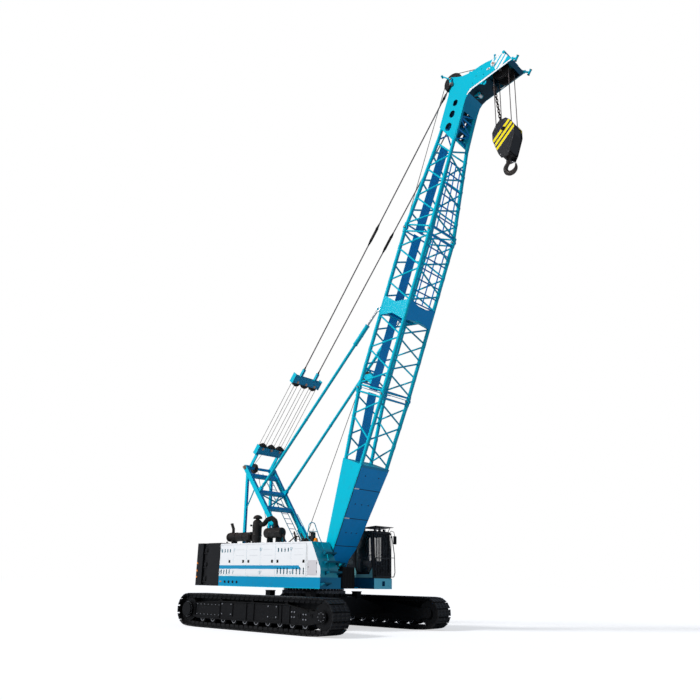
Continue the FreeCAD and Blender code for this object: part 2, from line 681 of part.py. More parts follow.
def cab_platform():
    pocket = box(PLATFORM_X[1] - 120, PLATFORM_X[1] + 10, 1500, 1680, DECK_LOW + 110, DECK_LOW + 290)
    return box(*PLATFORM_X, *CAB_Y, DECK_LOW, DECK_HIGH).cut(pocket)


def cab_shell():
    """Cab with its windows cut: raked front, side window that drops to the floor, door rail on the left."""
    x0, x1 = CAB_X
    y0, y1 = CAB_Y
    side = [(x0, DECK_HIGH), (x1, DECK_HIGH), (cab_front(CAB_KNEE), CAB_KNEE),
            (cab_front(CAB_TOP), CAB_TOP), (x0, CAB_TOP)]
    inner = [(x0 + CAB_WALL, CAB_FLOOR), (x1 - CAB_WALL, CAB_FLOOR),
             (cab_front(CAB_KNEE) - CAB_WALL, CAB_KNEE),
             (cab_front(CAB_TOP) - CAB_WALL, CAB_TOP - CAB_WALL), (x0 + CAB_WALL, CAB_TOP - CAB_WALL)]
    shell = plate_y(side, y0, y1).cut(plate_y(inner, y0 + CAB_WALL, y1 - CAB_WALL))
    window = [(1230, 2254), (1336, 2020), (1918, 2020), (2060, 2198), (1990, 3480), (1230, 3480)]
    cuts = [plate_y(window, y0 - 10, y0 + CAB_WALL + 10),
            box(480, 1130, y0 - 10, y0 + CAB_WALL + 10, 2350, 3480),
            box(x1 - 250, x1 + 50, y0 + 90, y1 - 90, 2050, 3480),
            box(*DOOR_X, y1 - CAB_WALL - 10, y1 + 10, DECK_HIGH + 80, 3480)]
    rail = box(x0 - 200, DOOR_X[1] + 30, y1 - 5, y1 + SIDE + 45, DECK_HIGH, CAB_FLOOR - SEAT)
    return fuse([shell, rail]).cut(cuts)


def cab_door():
    x0, x1 = DOOR_X
    y0 = CAB_Y[1] + SIDE
    door = box(x0 - 30, x1 + 30, y0, y0 + 45, CAB_FLOOR, 3520)
    return door.cut(box(x0 + 60, x1 - 60, y0 - 10, y0 + 60, 2500, 3430))


def operator_seat():
    x, y = 950.0, (CAB_Y[0] + CAB_Y[1]) / 2
    pieces = [box(x - 200, x + 200, y - 180, y + 180, CAB_FLOOR, CAB_FLOOR + 320),
              box(x - 250, x + 270, y - 260, y + 260, CAB_FLOOR + 315, CAB_FLOOR + 450),
              box(x - 330, x - 200, y - 250, y + 250, CAB_FLOOR + 420, CAB_FLOOR + 1150)]
    return fuse(pieces)


GUARD_X = 2240.0
GUARD_Y = (1045.0, 1990.0)
GUARD_Z = (1900.0, 3560.0)
GUARD_BARS = 9
GUARD_FRAME = 35.0
VISOR_Z = 3780.0


def cab_guard():
    """Barred guard before the windscreen, on stand-offs, with a sun visor over it."""
    y0, y1 = GUARD_Y
    z0, z1 = GUARD_Z
    panel = box(GUARD_X, GUARD_X + 25, y0, y1, z0, z1)
    pitch = (y1 - y0 - GUARD_FRAME) / GUARD_BARS
    middle = (z0 + z1) / 2 - 150
    holes = []
    for i in range(GUARD_BARS):
        a = y0 + GUARD_FRAME + i * pitch
        for low, high in ((z0 + GUARD_FRAME, middle), (middle + GUARD_FRAME, z1 - GUARD_FRAME)):
            holes.append(box(GUARD_X - 10, GUARD_X + 35, a, a + pitch - 22, low, high))
    arms = []
    for low in (z0 + 40, z1 - 60):
        for y in (y0, y1 - 30):
            arms.append(box(cab_front(low) + SEAT, GUARD_X + 5, y, y + 30, low, low + 30))
    guard = fuse([panel.cut(holes)] + arms)
    visor = plate_y([(1500, VISOR_Z - 60), (GUARD_X + 25, VISOR_Z),
                     (GUARD_X + 25, VISOR_Z + 15), (1500, VISOR_Z - 45)], CAB_Y[0] - 20, CAB_Y[1])
    posts = [box(1600, 1640, y, y + 40, CAB_TOP + SEAT, VISOR_Z - 50)
             for y in (CAB_Y[0] + 60, CAB_Y[1] - 100)]
    return [guard, fuse([visor] + posts)]


# ---------------------------------------------------------------- boom geometry
BOOM_TURN = Rotation(Vector(0, 1, 0), -BOOM_ANGLE)
BOOM_PLACE = Placement(Vector(FOOT_X, 0, FOOT_Z), BOOM_TURN)


def on_boom(s, y, t):
    """A point of the boom, in the machine's axes."""
    return BOOM_PLACE.multVec(Vector(s, y, t))


def placed(shape):
    """Moves a shape drawn in the boom's axes to its place on the machine."""
    moved = shape.copy()
    moved.Placement = BOOM_PLACE.multiply(moved.Placement)
    return moved


def boom_face(s, column):
    """Half width (1), front t (2) or rear t (3) of the boom's outer faces at s."""
    for low, high in zip(BOOM_STATIONS[:-1], BOOM_STATIONS[1:]):
        if s <= high[0]:
            break
    return low[column] + (high[column] - low[column]) * (s - low[0]) / (high[0] - low[0])


def chord_point(s, side, face):
    """Centre of a chord: side is -1 right or 1 left, face is -1 front or 1 rear."""
    y = side * (boom_face(s, 1) - CHORD_RADIUS)
    t = boom_face(s, 2) + CHORD_RADIUS if face < 0 else boom_face(s, 3) - CHORD_RADIUS
    return Vector(s, y, t)


def brace(s0, s1, start, end):
    """A light tube between two chords; start and end are (side, face)."""
    return flat_sided(chord_point(s0, *start), chord_point(s1, *end), BRACE_RADIUS, BRACE_FLATS)


def zigzag(stations, lead=1):
    """Bracing on all four faces, one diagonal to each bay; the sides lean with lead first."""
    tubes = []
    shy = 55
    for i, (low, high) in enumerate(zip(stations[:-1], stations[1:])):
        way = lead if i % 2 else -lead
        for side in (-1, 1):
            tubes.append(brace(low + shy, high - shy, (side, -way), (side, way)))
        for face in (-1, 1):
            tubes.append(brace(low + shy, high - shy, (-way, face), (way, face)))
    return tubes


def square_frame(s):
    """A ring of four cross tubes."""
    corners = ((-1, -1), (1, -1), (1, 1), (-1, 1))
    return [brace(s, s, a, b) for a, b in zip(corners, corners[1:] + corners[:1])]


def chords(s_start, s_end):
    tubes = []
    for side in (-1, 1):
        for face in (-1, 1):
            tubes.append(rod(chord_point(s_start, side, face), chord_point(s_end, side, face), CHORD_RADIUS))
    return tubes


WALKWAY_HALF = 250.0
WALKWAY_THICK = 12.0


def walkway(s_start, s_end):
    """A plate strip up the inside of the rear face."""
    t0 = chord_point(s_start, 1, 1).z - BRACE_RADIUS + 10
    t1 = chord_point(s_end, 1, 1).z - BRACE_RADIUS + 10
    outline = [(s_start, t0), (s_end, t1), (s_end, t1 - WALKWAY_THICK), (s_start, t0 - WALKWAY_THICK)]
    return plate_y(outline, -WALKWAY_HALF, WALKWAY_HALF)


def squared(section, s_start, s_end):
    """Trims a boom section to flat ends across the boom."""
    return section.common(box(s_start, s_end, -2000, 2000, -2000, 2000))


DIAPHRAGM = 20.0
DIAPHRAGM_DEPTH = 300.0
DIAPHRAGM_HOLE = 60.0


def diaphragm(s):
    """Two pierced plate strips across the boom, inside its front and rear faces."""
    strips = []
    half = boom_face(s, 1) - CHORD_RADIUS
    for face in (-1, 1):
        edge = chord_point(s, 1, face).z
        t0, t1 = sorted((edge, edge - face * DIAPHRAGM_DEPTH))
        strip = box(s, s + DIAPHRAGM, -half, half, t0, t1)
        holes = []
        for i in (-1.5, -0.5, 0.5, 1.5):
            y, t = i * half / 2.4, (t0 + t1) / 2
            holes.append(flat_sided(Vector(s - 10, y, t), Vector(s + DIAPHRAGM + 10, y, t),
                                    DIAPHRAGM_HOLE, 12))
        strips.append(strip.cut(holes))
    return strips


def band_plates():
    """Plates round the boom between the band's two diaphragms, waisted in the middle of each face."""
    low, high = BAND
    corner, waist, plate = 110, 70, 12
    half = boom_face(low, 1)
    front, rear = boom_face(low, 2), boom_face(low, 3)
    middle = (front + rear) / 2
    pieces = []
    side_outline = [(low - corner, front + 40), (low + waist, middle), (low - corner, rear - 40),
                    (high + corner, rear - 40), (high - waist, middle), (high + corner, front + 40)]
    face_outline = [(low - corner, -half + 40), (low + waist, 0), (low - corner, half - 40),
                    (high + corner, half - 40), (high - waist, 0), (high + corner, -half + 40)]
    for side in (-1, 1):
        pieces.append(plate_y(side_outline, *across(side, half - plate - 10, half - 10)))
    for t in (front + 10, rear - 10 - plate):
        pieces.append(plate_z(face_outline, t, t + plate))
    return pieces


def boom_foot_section():
    """Plated box foot that widens from two foot eyes, with lattice above it."""
    root = 400
    plan = [(root, -380)] + [(s, -boom_face(s, 1)) for s in (1000, PLATED)]
    plan += [(s, -y) for s, y in reversed(plan)]
    depth = ([(s, boom_face(s, 2)) for s in (root, 1000, PLATED)]
             + [(s, boom_face(s, 3)) for s in (PLATED, 1000, root)])
    pieces = [plate_z(plan, -700, 800).common(plate_y(depth, -1000, 1000))]
    for side in (-1, 1):
        arm = [(0, -FOOT_EYE_RADIUS + 5), (900, boom_face(900, 2) + 10), (900, boom_face(900, 3) - 10),
               (0, FOOT_EYE_RADIUS - 5)]
        pieces.append(plate_y(arm, *across(side, *FOOT_EYE_Y)))
        pieces.append(rod_y(0, 0, *across(side, *FOOT_EYE_Y), FOOT_EYE_RADIUS))
    pieces += (chords(PLATED - 100, JOINT_1 + 40) + zigzag((PLATED + 30, 5200, 6000, 6800))
               + square_frame(JOINT_1 - 130))
    pieces.append(walkway(PLATED - 20, JOINT_1 - 60))
    foot = squared(fuse(pieces), -500, JOINT_1)
    return placed(foot.cut(rod_y(0, 0, -700, 700, FOOT_PIN_RADIUS + FIT)))


def stop_brackets():
    """Ears on the rear chords that carry the back stops' upper pins."""
    eye = BOOM_PLACE.inverse().multVec(STOP_EYE)
    root = boom_face(eye.x, 3) - 60
    pieces = []
    for side in (-1, 1):
        ear = [(eye.x - 260, root), (eye.x + 260, root), (eye.x + 60, eye.z + 50), (eye.x - 60, eye.z + 50)]
        pieces.append(plate_y(ear, *across(side, STOP_Y - 82, STOP_Y - 50)))
        pieces.append(rod_y(eye.x, eye.z, *across(side, STOP_Y - 72, STOP_Y + 45), STOP_PIN))
    return pieces


GUIDE_SHEAVE = (JOINT_1 + 500, 1150.0)     # s and t of the hoist rope's guide
GUIDE_RADIUS_OUT = 220.0
GUIDE_PIN = 40.0
GUIDE_FORK = 75.0


def guide_fork():
    """A fork on two cross tubes behind the rear face, for the hoist rope's guide sheave."""
    s, t = GUIDE_SHEAVE
    root = chord_point(s, 1, 1).z
    pieces = [brace(at, at, (-1, 1), (1, 1)) for at in (s - 260, s + 260)]
    fork = [(s - 280, root - 20), (s + 280, root - 20), (s + 60, t + 60), (s - 60, t + 60)]
    for side in (-1, 1):
        pieces.append(plate_y(fork, *across(side, GUIDE_FORK, GUIDE_FORK + 25)))
    pieces.append(rod_y(s, t, -GUIDE_FORK - 40, GUIDE_FORK + 40, GUIDE_PIN))
    return pieces


def boom_middle_section():
    """Lattice on both sides of the plated band, with the ears and fork on its back."""
    low, high = BAND
    pieces = chords(JOINT_1 - 40, JOINT_2 + 40)
    pieces += square_frame(JOINT_1 + 130) + square_frame(JOINT_2 - 130)
    pieces += (zigzag((JOINT_1 + 160, 7950, 8650, 9350, low - 40))
               + zigzag((high + 40, 11400, 12100, 12780, JOINT_2 - 160), -1))
    pieces += band_plates() + diaphragm(JOINT_1 + 20) + diaphragm(low) + diaphragm(high - DIAPHRAGM)
    pieces += [walkway(JOINT_1 + 60, low + 10), walkway(high - 10, JOINT_2 - 60)]
    return placed(squared(fuse(pieces + stop_brackets() + guide_fork()), JOINT_1 + SEAT, JOINT_2))


TIP_SHEAVE = (20300.0, -1300.0)
KNEE_SHEAVE = (20170.0, 1090.0)
SHEAVE_RADIUS = 350.0
KNEE_RADIUS = 420.0
SHEAVE_HALF = 40.0
SHEAVE_FLATS = 32
GROOVE_DEPTH = 45.0
GROOVE_HALF = 20.0
ROPE_RADIUS = 17.0
FALL_Y = 225.0             # the two tip sheaves, and the block's two, run this far from the middle
TIP_PIN = 60.0
KNEE_PIN = 50.0
KNEE_ARM = 60.0


def boom_top_section():
    pieces = chords(JOINT_2 - 40, HEAD_START + 40) + square_frame(JOINT_2 + 130)
    pieces += zigzag((JOINT_2 + 160, 14300, 14950, 15600, 16200, 16800, HEAD_START - 60))
    pieces.append(walkway(JOINT_2 + 60, HEAD_START - 100))
    return placed(squared(fuse(pieces), JOINT_2 + SEAT, HEAD_START - SEAT))


HEAD_PLATE = 20.0
# side plates of the head: up the rear, over the crank to the nose, and back along the front
HEAD_REAR = ((HEAD_START, 665.0), (19300.0, 700.0), (19700.0, 790.0), (20030.0, 810.0), (20070.0, 480.0),
             (20190.0, -20.0), (20470.0, -510.0), (20640.0, -970.0), (20870.0, -1440.0))
HEAD_FRONT = ((20540.0, -1900.0), (19730.0, -770.0), (19450.0, -330.0), (19200.0, -190.0), (18190.0, -230.0),
              (HEAD_START, -280.0))
HEAD_HOLES = (17950.0, 18480.0, 18950.0)
HEAD_HOLE_T = 250.0


def head_side(side):
    plate = plate_y(HEAD_REAR + HEAD_FRONT, *across(side, HEAD_HALF - HEAD_PLATE, HEAD_HALF))
    holes = []
    for s in HEAD_HOLES:
        slot = [rod_y(at, HEAD_HOLE_T, -700, 700, 85) for at in (s - 45, s + 45)]
        holes.append(fuse(slot + [box(s - 45, s + 45, -700, 700, HEAD_HOLE_T - 85, HEAD_HOLE_T + 85)]))
    return plate.cut(holes)


def head_sheet(points, thick):
    """A cover sheet between the side plates, folded along the points, with thick to its left."""
    normals = []
    for a, b in zip(points[:-1], points[1:]):
        run = Vector(b[0] - a[0], 0, b[1] - a[1]).normalize()
        normals.append(Vector(-run.z, 0, run.x))
    inner = []
    for point, before, after in zip(points, normals[:1] + normals, normals + normals[-1:]):
        mitre = (before + after) * (thick / (1 + before.dot(after)))
        inner.append((point[0] + mitre.x, point[1] + mitre.z))
    return plate_y(list(points) + inner[::-1], -HEAD_HALF + HEAD_PLATE - 5, HEAD_HALF - HEAD_PLATE + 5)


def boom_head():
    """Cranked plate head: two pierced side plates, cover sheets, sheave pins and stay pins."""
    pieces = [head_side(-1), head_side(1)]
    front = [HEAD_FRONT[4], HEAD_FRONT[3], HEAD_FRONT[2], HEAD_FRONT[1], (19890.0, -993.0)]
    pieces.append(head_sheet(front, HEAD_PLATE))
    pieces.append(head_sheet([(20440.0, -1760.0), HEAD_FRONT[0], HEAD_REAR[-1], (20770.0, -1236.0)],
                             HEAD_PLATE))
    pieces.append(head_sheet([(18900.0, 690.0), HEAD_REAR[1], HEAD_REAR[2]], -HEAD_PLATE))
    pieces.append(head_sheet([(20055.0, 600.0), HEAD_REAR[4], HEAD_REAR[5], HEAD_REAR[6]], -HEAD_PLATE))
    flange = box(HEAD_START, HEAD_START + 40, -HEAD_HALF - 30, HEAD_HALF + 30, -280, 665)
    pieces.append(flange.cut(box(HEAD_START - 10, HEAD_START + 50,
                                 -HEAD_HALF + 130, HEAD_HALF - 130, -130, 510)))
    s, t = KNEE_SHEAVE
    arm = [(19600, 700), (20040, 560), (s + 80, t - 60), (s + 40, t + 80), (s - 60, t + 70)]
    for side in (-1, 1):
        pieces.append(plate_y(arm, *across(side, KNEE_ARM, KNEE_ARM + 30)))
    pieces.append(rod_y(s, t, -KNEE_ARM - 45, KNEE_ARM + 45, KNEE_PIN))
    pieces.append(rod_y(*TIP_SHEAVE, -HEAD_HALF - 25, HEAD_HALF + 25, TIP_PIN))
    reach = HEAD_HALF + SIDE + PENDANT_EYE + 30
    pieces.append(rod_y(*STAY_PIN, -reach, reach, STAY_PIN_RADIUS))
    return placed(fuse(pieces))


def rope_line(radius):
    """How far from a sheave's centre the rope's centre line lies, seated in its groove."""
    return radius - GROOVE_DEPTH + ROPE_RADIUS + SEAT


def sheave(x, y, z, bore, radius):
    """A grooved wheel with many flats and a round bore."""
    discs = []
    for y0, y1, r in ((-SHEAVE_HALF, -GROOVE_HALF, radius),
                      (-GROOVE_HALF - 2, GROOVE_HALF + 2, radius - GROOVE_DEPTH),
                      (GROOVE_HALF, SHEAVE_HALF, radius)):
        discs.append(flat_sided(Vector(x, y + y0, z), Vector(x, y + y1, z), r, SHEAVE_FLATS))
    return fuse(discs).cut(rod_y(x, z, y - SHEAVE_HALF - 10, y + SHEAVE_HALF + 10, bore))


def tip_sheaves():
    return [placed(sheave(TIP_SHEAVE[0], y, TIP_SHEAVE[1], TIP_PIN + FIT, SHEAVE_RADIUS))
            for y in (-FALL_Y, FALL_Y)]


def knee_sheave():
    return placed(sheave(KNEE_SHEAVE[0], 0, KNEE_SHEAVE[1], KNEE_PIN + FIT, KNEE_RADIUS))


def guide_sheave():
    return placed(sheave(GUIDE_SHEAVE[0], 0, GUIDE_SHEAVE[1], GUIDE_PIN + FIT, GUIDE_RADIUS_OUT))


# ---------------------------------------------------------------- gantry and stays
APEX = Vector(-3510, 0, 6330)
STAY_PIN = (19780.0, 690.0)
STAY_PIN_RADIUS = 40.0
PENDANT_EYE = 50.0         # thickness of a pendant's end fitting
PENDANT_RADIUS = 26.0
APEX_PIN = 60.0
LEG_Y = (810.0, 700.0)     # middle of a front leg, at its top and at its foot
GANTRY_CROSS = (0.09, 0.27, 0.44)
REAR_LEG_Y = 690.0
LINK_Y = 590.0


def stop_lug():
    """An ear on the front of the gantry leg, round the back stop's lower pin."""
    root = STOP_FOOT - LEG_FRONT * STOP_STAND_OFF
    corners = (root - LEG_DOWN * 130, root + LEG_DOWN * 130, STOP_FOOT + LEG_DOWN * 50 + LEG_FRONT * 45,
               STOP_FOOT - LEG_DOWN * 50 + LEG_FRONT * 45)
    return [(corner.x, corner.z) for corner in corners]


def leg_y(share):
    return LEG_Y[0] + (LEG_Y[1] - LEG_Y[0]) * share


def leg_point(share, side):
    """A point on a front leg's centre line, share 0 at the top and 1 at the foot."""
    p = APEX + (GANTRY_FOOT - APEX) * share
    return Vector(p.x, side * leg_y(share), p.z)


def gantry_front_frame():
    """Two raked legs with three cross-members, the apex shaft and the back stop lugs."""
    pieces = []
    for side in (-1, 1):
        pieces.append(beam(leg_point(0, side), leg_point(1, side), 130, 200))
        pieces.append(beam(leg_point(0.62, side), leg_point(0.8, side), 150, 290))
        pieces.append(rod_y(GANTRY_FOOT.x, GANTRY_FOOT.z, *across(side, 560, 850), GANTRY_PIN))
        pieces.append(rod_y(GANTRY_FOOT.x, GANTRY_FOOT.z, *across(side, 635, 765), 100))
        pieces.append(rod_y(APEX.x, APEX.z, *across(side, 745, 875), 110))
        for near, far in ((-65, -35), (35, 65)):
            pieces.append(plate_y(stop_lug(), *across(side, STOP_Y + near, STOP_Y + far)))
        pieces.append(rod_y(STOP_FOOT.x, STOP_FOOT.z, *across(side, STOP_Y - 60, STOP_Y + 45), STOP_PIN))
    pieces.append(rod_y(APEX.x, APEX.z, -800, 800, APEX_PIN))
    for share in GANTRY_CROSS:
        pieces.append(beam(leg_point(share, -1), leg_point(share, 1), 150, 150, LEG_FRONT))
    return fuse(pieces)


GANTRY_SHEAVE_Y = -330.0
GANTRY_SHEAVE_RADIUS = 210.0


def gantry_sheave():
    return sheave(APEX.x, GANTRY_SHEAVE_Y, APEX.z, APEX_PIN + FIT, GANTRY_SHEAVE_RADIUS)


def gantry_rear_legs():
    """Two near upright legs, each with an eye at the apex and at its foot."""
    legs = []
    for side in (-1, 1):
        top = Vector(APEX.x, side * REAR_LEG_Y, APEX.z)
        foot = Vector(REAR_FOOT.x, side * GANTRY_Y, REAR_FOOT.z)
        leg = [beam(top, foot, 100, 120, Vector(1, 0, 0)),
               rod_y(APEX.x, APEX.z, *across(side, REAR_LEG_Y - 48, REAR_LEG_Y + 48), 110),
               rod_y(REAR_FOOT.x, REAR_FOOT.z, *across(side, 650, 750), 90),
               rod_y(REAR_FOOT.x, REAR_FOOT.z, *across(side, 560, 850), GANTRY_PIN)]
        legs.append(fuse(leg).cut(rod_y(APEX.x, APEX.z, -900, 900, APEX_PIN + FIT)))
    return legs


def stay_line():
    head = on_boom(STAY_PIN[0], 0, STAY_PIN[1])
    return (head - APEX).normalize(), head


def along_stay(distance, y, out=0.0):
    """A point at a distance from the apex along the stays, and out from their plane."""
    direction = stay_line()[0]
    p = APEX + direction * distance + Vector(direction.z, 0, -direction.x) * out
    return Vector(p.x, y, p.z)


SPREADER_GAP = 70.0        # each plate stands this far from the stays' plane
SPREADER_PLATE = 22.0
LUFF_SHEAVE_RADIUS = 210.0
LUFF_SHEAVE_HALF = 50.0
LUFF_SHEAVE_YS = (-500.0, 0.0, 500.0)
LOWER_SPREADER = (740.0, 1080.0, 1020.0, 760.0)     # box from, to, sheave centres, half width
UPPER_SPREADER = (4290.0, 4620.0, 4350.0, 800.0)
FORK_Y = 420.0
FORK_REACH = 330.0


def spreader_box(low, high, centre, half):
    """Two plates across the stays, their end pieces, and three flat-lying sheaves on pins."""
    pieces = []
    for way in (-1, 1):
        near, far = sorted((way * SPREADER_GAP, way * (SPREADER_GAP + SPREADER_PLATE)))
        corners = [along_stay(low, -half, near), along_stay(high, -half, near), along_stay(high, half, near),
                   along_stay(low, half, near)]
        pieces.append(polygon(corners).extrude(along_stay(0, 0, far) - along_stay(0, 0, near)))
    reach = SPREADER_GAP + SPREADER_PLATE
    for side in (-1, 1):
        y = side * (half - 15)
        pieces.append(beam(along_stay(low - 40, y), along_stay(high + 60, y), 30, 2 * reach + 20))
    for y in LUFF_SHEAVE_YS:
        pieces.append(rod(along_stay(centre, y, -reach - 12), along_stay(centre, y, reach + 12), 40))
        pieces.append(flat_sided(along_stay(centre, y, -LUFF_SHEAVE_HALF),
                                 along_stay(centre, y, LUFF_SHEAVE_HALF), LUFF_SHEAVE_RADIUS, 24))
    return pieces


def lower_spreader():
    """Sheave box held off the apex shaft by two links."""
    low, high, centre, half = LOWER_SPREADER
    pieces = spreader_box(*LOWER_SPREADER)
    for side in (-1, 1):
        y = side * LINK_Y
        pieces.append(beam(along_stay(0, y), along_stay(low + 60, y), 50, 2 * SPREADER_GAP + 10))
        pieces.append(rod_y(APEX.x, APEX.z, y - 25, y + 25, 110))
    return fuse(pieces).cut(rod_y(APEX.x, APEX.z, -900, 900, APEX_PIN + FIT))


def upper_spreader():
    """Sheave box with two forks above it for the pendants."""
    low, high, centre, half = UPPER_SPREADER
    pieces = spreader_box(*UPPER_SPREADER)
    for side in (-1, 1):
        pieces.append(beam(along_stay(high - 80, side * FORK_Y),
                           along_stay(high + FORK_REACH, side * FORK_Y), 110, 110))
    return fuse(pieces)


def pendants():
    """Two stay ropes from the upper spreader's forks to the eyes on the boom head."""
    head = stay_line()[1]
    bars = []
    for side in (-1, 1):
        start = along_stay(UPPER_SPREADER[1] + FORK_REACH + 2 * SEAT, side * FORK_Y)
        y0, y1 = across(side, HEAD_HALF + SIDE, HEAD_HALF + SIDE + PENDANT_EYE)
        end = Vector(head.x, (y0 + y1) / 2, head.z)
        along = (end - start).normalize()
        bar = fuse([rod(start, end, PENDANT_RADIUS), rod(end - along * 720, end - along * 440, 45),
                    rod_y(head.x, head.z, y0, y1, 85)])
        bars.append(bar.cut(rod_y(head.x, head.z, y0 - 10, y1 + 10, STAY_PIN_RADIUS + FIT)))
    return bars


# ---------------------------------------------------------------- back stops
LEG_DOWN = (GANTRY_FOOT - APEX).normalize()
LEG_FRONT = Vector(-LEG_DOWN.z, 0, LEG_DOWN.x)
STOP_STAND_OFF = 215.0
STOP_FOOT = APEX + (GANTRY_FOOT - APEX) * 0.265 + LEG_FRONT * STOP_STAND_OFF
STOP_EYE = Vector(3760, 0, 11930)
STOP_Y = 740.0
STOP_PIN = 35.0
STOP_TUBE = 62.0
STOP_ROD = 42.0
STOP_SLEEVE = 88.0
STOP_SLEEVE_FROM = 7350.0
STOP_SLEEVE_TO = 8300.0
STOP_BORE_FROM = 5500.0
STOP_ROD_FROM = 6350.0
STOP_DRIFT = 26.0          # the upper eye's bore is this much larger than its pin


def stop_axis(side):
    start = Vector(STOP_FOOT.x, side * STOP_Y, STOP_FOOT.z)
    end = Vector(STOP_EYE.x, side * STOP_Y, STOP_EYE.z)
    return start, end, (end - start).normalize()


def backstop_tube(side):
    """Long tube with an eye at the gantry and a thick spring sleeve at its upper end."""
    start, end, along = stop_axis(side)
    tube = fuse([rod(start + along * 60, start + along * (STOP_SLEEVE_FROM + 10), STOP_TUBE),
                 rod(start + along * STOP_SLEEVE_FROM, start + along * STOP_SLEEVE_TO, STOP_SLEEVE),
                 rod_y(start.x, start.z, start.y - 30, start.y + 30, 95)])
    tube = tube.cut(rod_y(start.x, start.z, start.y - 90, start.y + 90, STOP_PIN + FIT))
    return tube.cut(rod(start + along * STOP_BORE_FROM, start + along * (STOP_SLEEVE_TO + 10),
                        STOP_ROD + FIT))


def backstop_rod(side):
    start, end, along = stop_axis(side)
    eye = rod_y(end.x, end.z, end.y - 30, end.y + 30, 105)
    bar = fuse([rod(start + along * STOP_ROD_FROM, end - along * 80, STOP_ROD), eye])
    return bar.cut(rod_y(end.x, end.z, end.y - 90, end.y + 90, STOP_PIN + STOP_DRIFT))


# ---------------------------------------------------------------- block and hook
TIP = on_boom(TIP_SHEAVE[0], 0, TIP_SHEAVE[1])
BLOCK_SHEAVE_Z = 17950.0


BLOCK_HALF = 300.0
BLOCK_PLATE = 25.0
BLOCK_FOOT = (16900.0, 17050.0)
SHANK_RADIUS = 75.0
HOOK_BEND = 230.0
HOOK_SECTION = 82.0
HOOK_Z = 16390.0


def block_outline():
    """Right half of a cheek plate, from the bottom up: distance from the middle, and Z."""
    half = [(130, 16750), (240, 16950), (460, 17600), (460, 17950), (300, 18210), (130, 18370)]
    return [(TIP.x + x, z) for x, z in half] + [(TIP.x - x, z) for x, z in reversed(half)]


def hook_block():
    """Two cheek plates on the sheave pin, with rope guards and the cross head between them."""
    pieces = [plate_y(block_outline(), *across(side, BLOCK_HALF - BLOCK_PLATE, BLOCK_HALF))
              for side in (-1, 1)]
    inner = BLOCK_HALF - BLOCK_PLATE + 5
    pieces.append(rod_y(TIP.x, BLOCK_SHEAVE_Z, -BLOCK_HALF - 30, BLOCK_HALF + 30, TIP_PIN))
    pieces.append(box(TIP.x - 170, TIP.x + 170, -inner, inner, *BLOCK_FOOT))
    for way in (-1, 1):
        guard = [(TIP.x + way * 180, 16950), (TIP.x + way * 225, 16950), (TIP.x + way * 432, 17560),
                 (TIP.x + way * 400, 17570)]
        pieces.append(plate_y(guard, -inner, inner))
        pieces.append(plate_y([(TIP.x + way * 400, 17560), (TIP.x + way * 432, 17560),
                               (TIP.x + way * 432, 17900), (TIP.x + way * 400, 17900)], -inner, inner))
    return fuse(pieces).cut(rod_z(TIP.x, 0, BLOCK_FOOT[0] - 10, BLOCK_FOOT[1] + 10, SHANK_RADIUS + FIT))


def block_sheaves():
    return [sheave(TIP.x, y, BLOCK_SHEAVE_Z, TIP_PIN + FIT, SHEAVE_RADIUS) for y in (-FALL_Y, FALL_Y)]


def hook():
    """Shank with a nut above the cross head, and a forged six-sided bend with a drawn point."""
    shank = rod_z(TIP.x, 0, HOOK_Z + HOOK_BEND, BLOCK_FOOT[1] + 60, SHANK_RADIUS)
    nut = rod_z(TIP.x, 0, BLOCK_FOOT[1] + SEAT, BLOCK_FOOT[1] + 90, 115)
    centre = Vector(TIP.x, 0, HOOK_Z)
    section = []
    for i in range(6):
        turn = math.pi / 3 * i
        section.append(centre + Vector(0, HOOK_SECTION * math.sin(turn),
                                       HOOK_BEND + HOOK_SECTION * math.cos(turn)))
    bend = polygon(section).revolve(centre, Vector(0, 1, 0), -250)
    tip_angle = math.radians(90 + 250)
    tip_centre = centre + Vector(HOOK_BEND * math.cos(tip_angle), 0, HOOK_BEND * math.sin(tip_angle))
    forward = Vector(-math.sin(tip_angle), 0, math.cos(tip_angle))
    point = Part.makeCone(HOOK_SECTION * 0.85, 25, 150, tip_centre - forward * 5, forward)
    return fuse([shank, nut, bend, point])


def hoist_falls():
    falls = []
    for y in (-FALL_Y, FALL_Y):
        for way in (-1, 1):
            x = TIP.x + way * rope_line(SHEAVE_RADIUS)
            falls.append(rod_z(x, y, BLOCK_SHEAVE_Z, TIP.z, ROPE_RADIUS))
    return falls


# ---------------------------------------------------------------- winches
MAIN_WINCH = (-1000.0, 1980.0)
LUFF_WINCH = (-2300.0, 1980.0)


def winch_drum(place):
    x, z = place
    reach = GIRDER_INNER - SEAT
    profile = [(0, -reach), (60, -reach), (60, -500), (330, -500), (330, -470), (230, -470)]
    profile += [(r, -y) for r, y in reversed(profile)]
    return revolve_y(profile, x, z, 0)


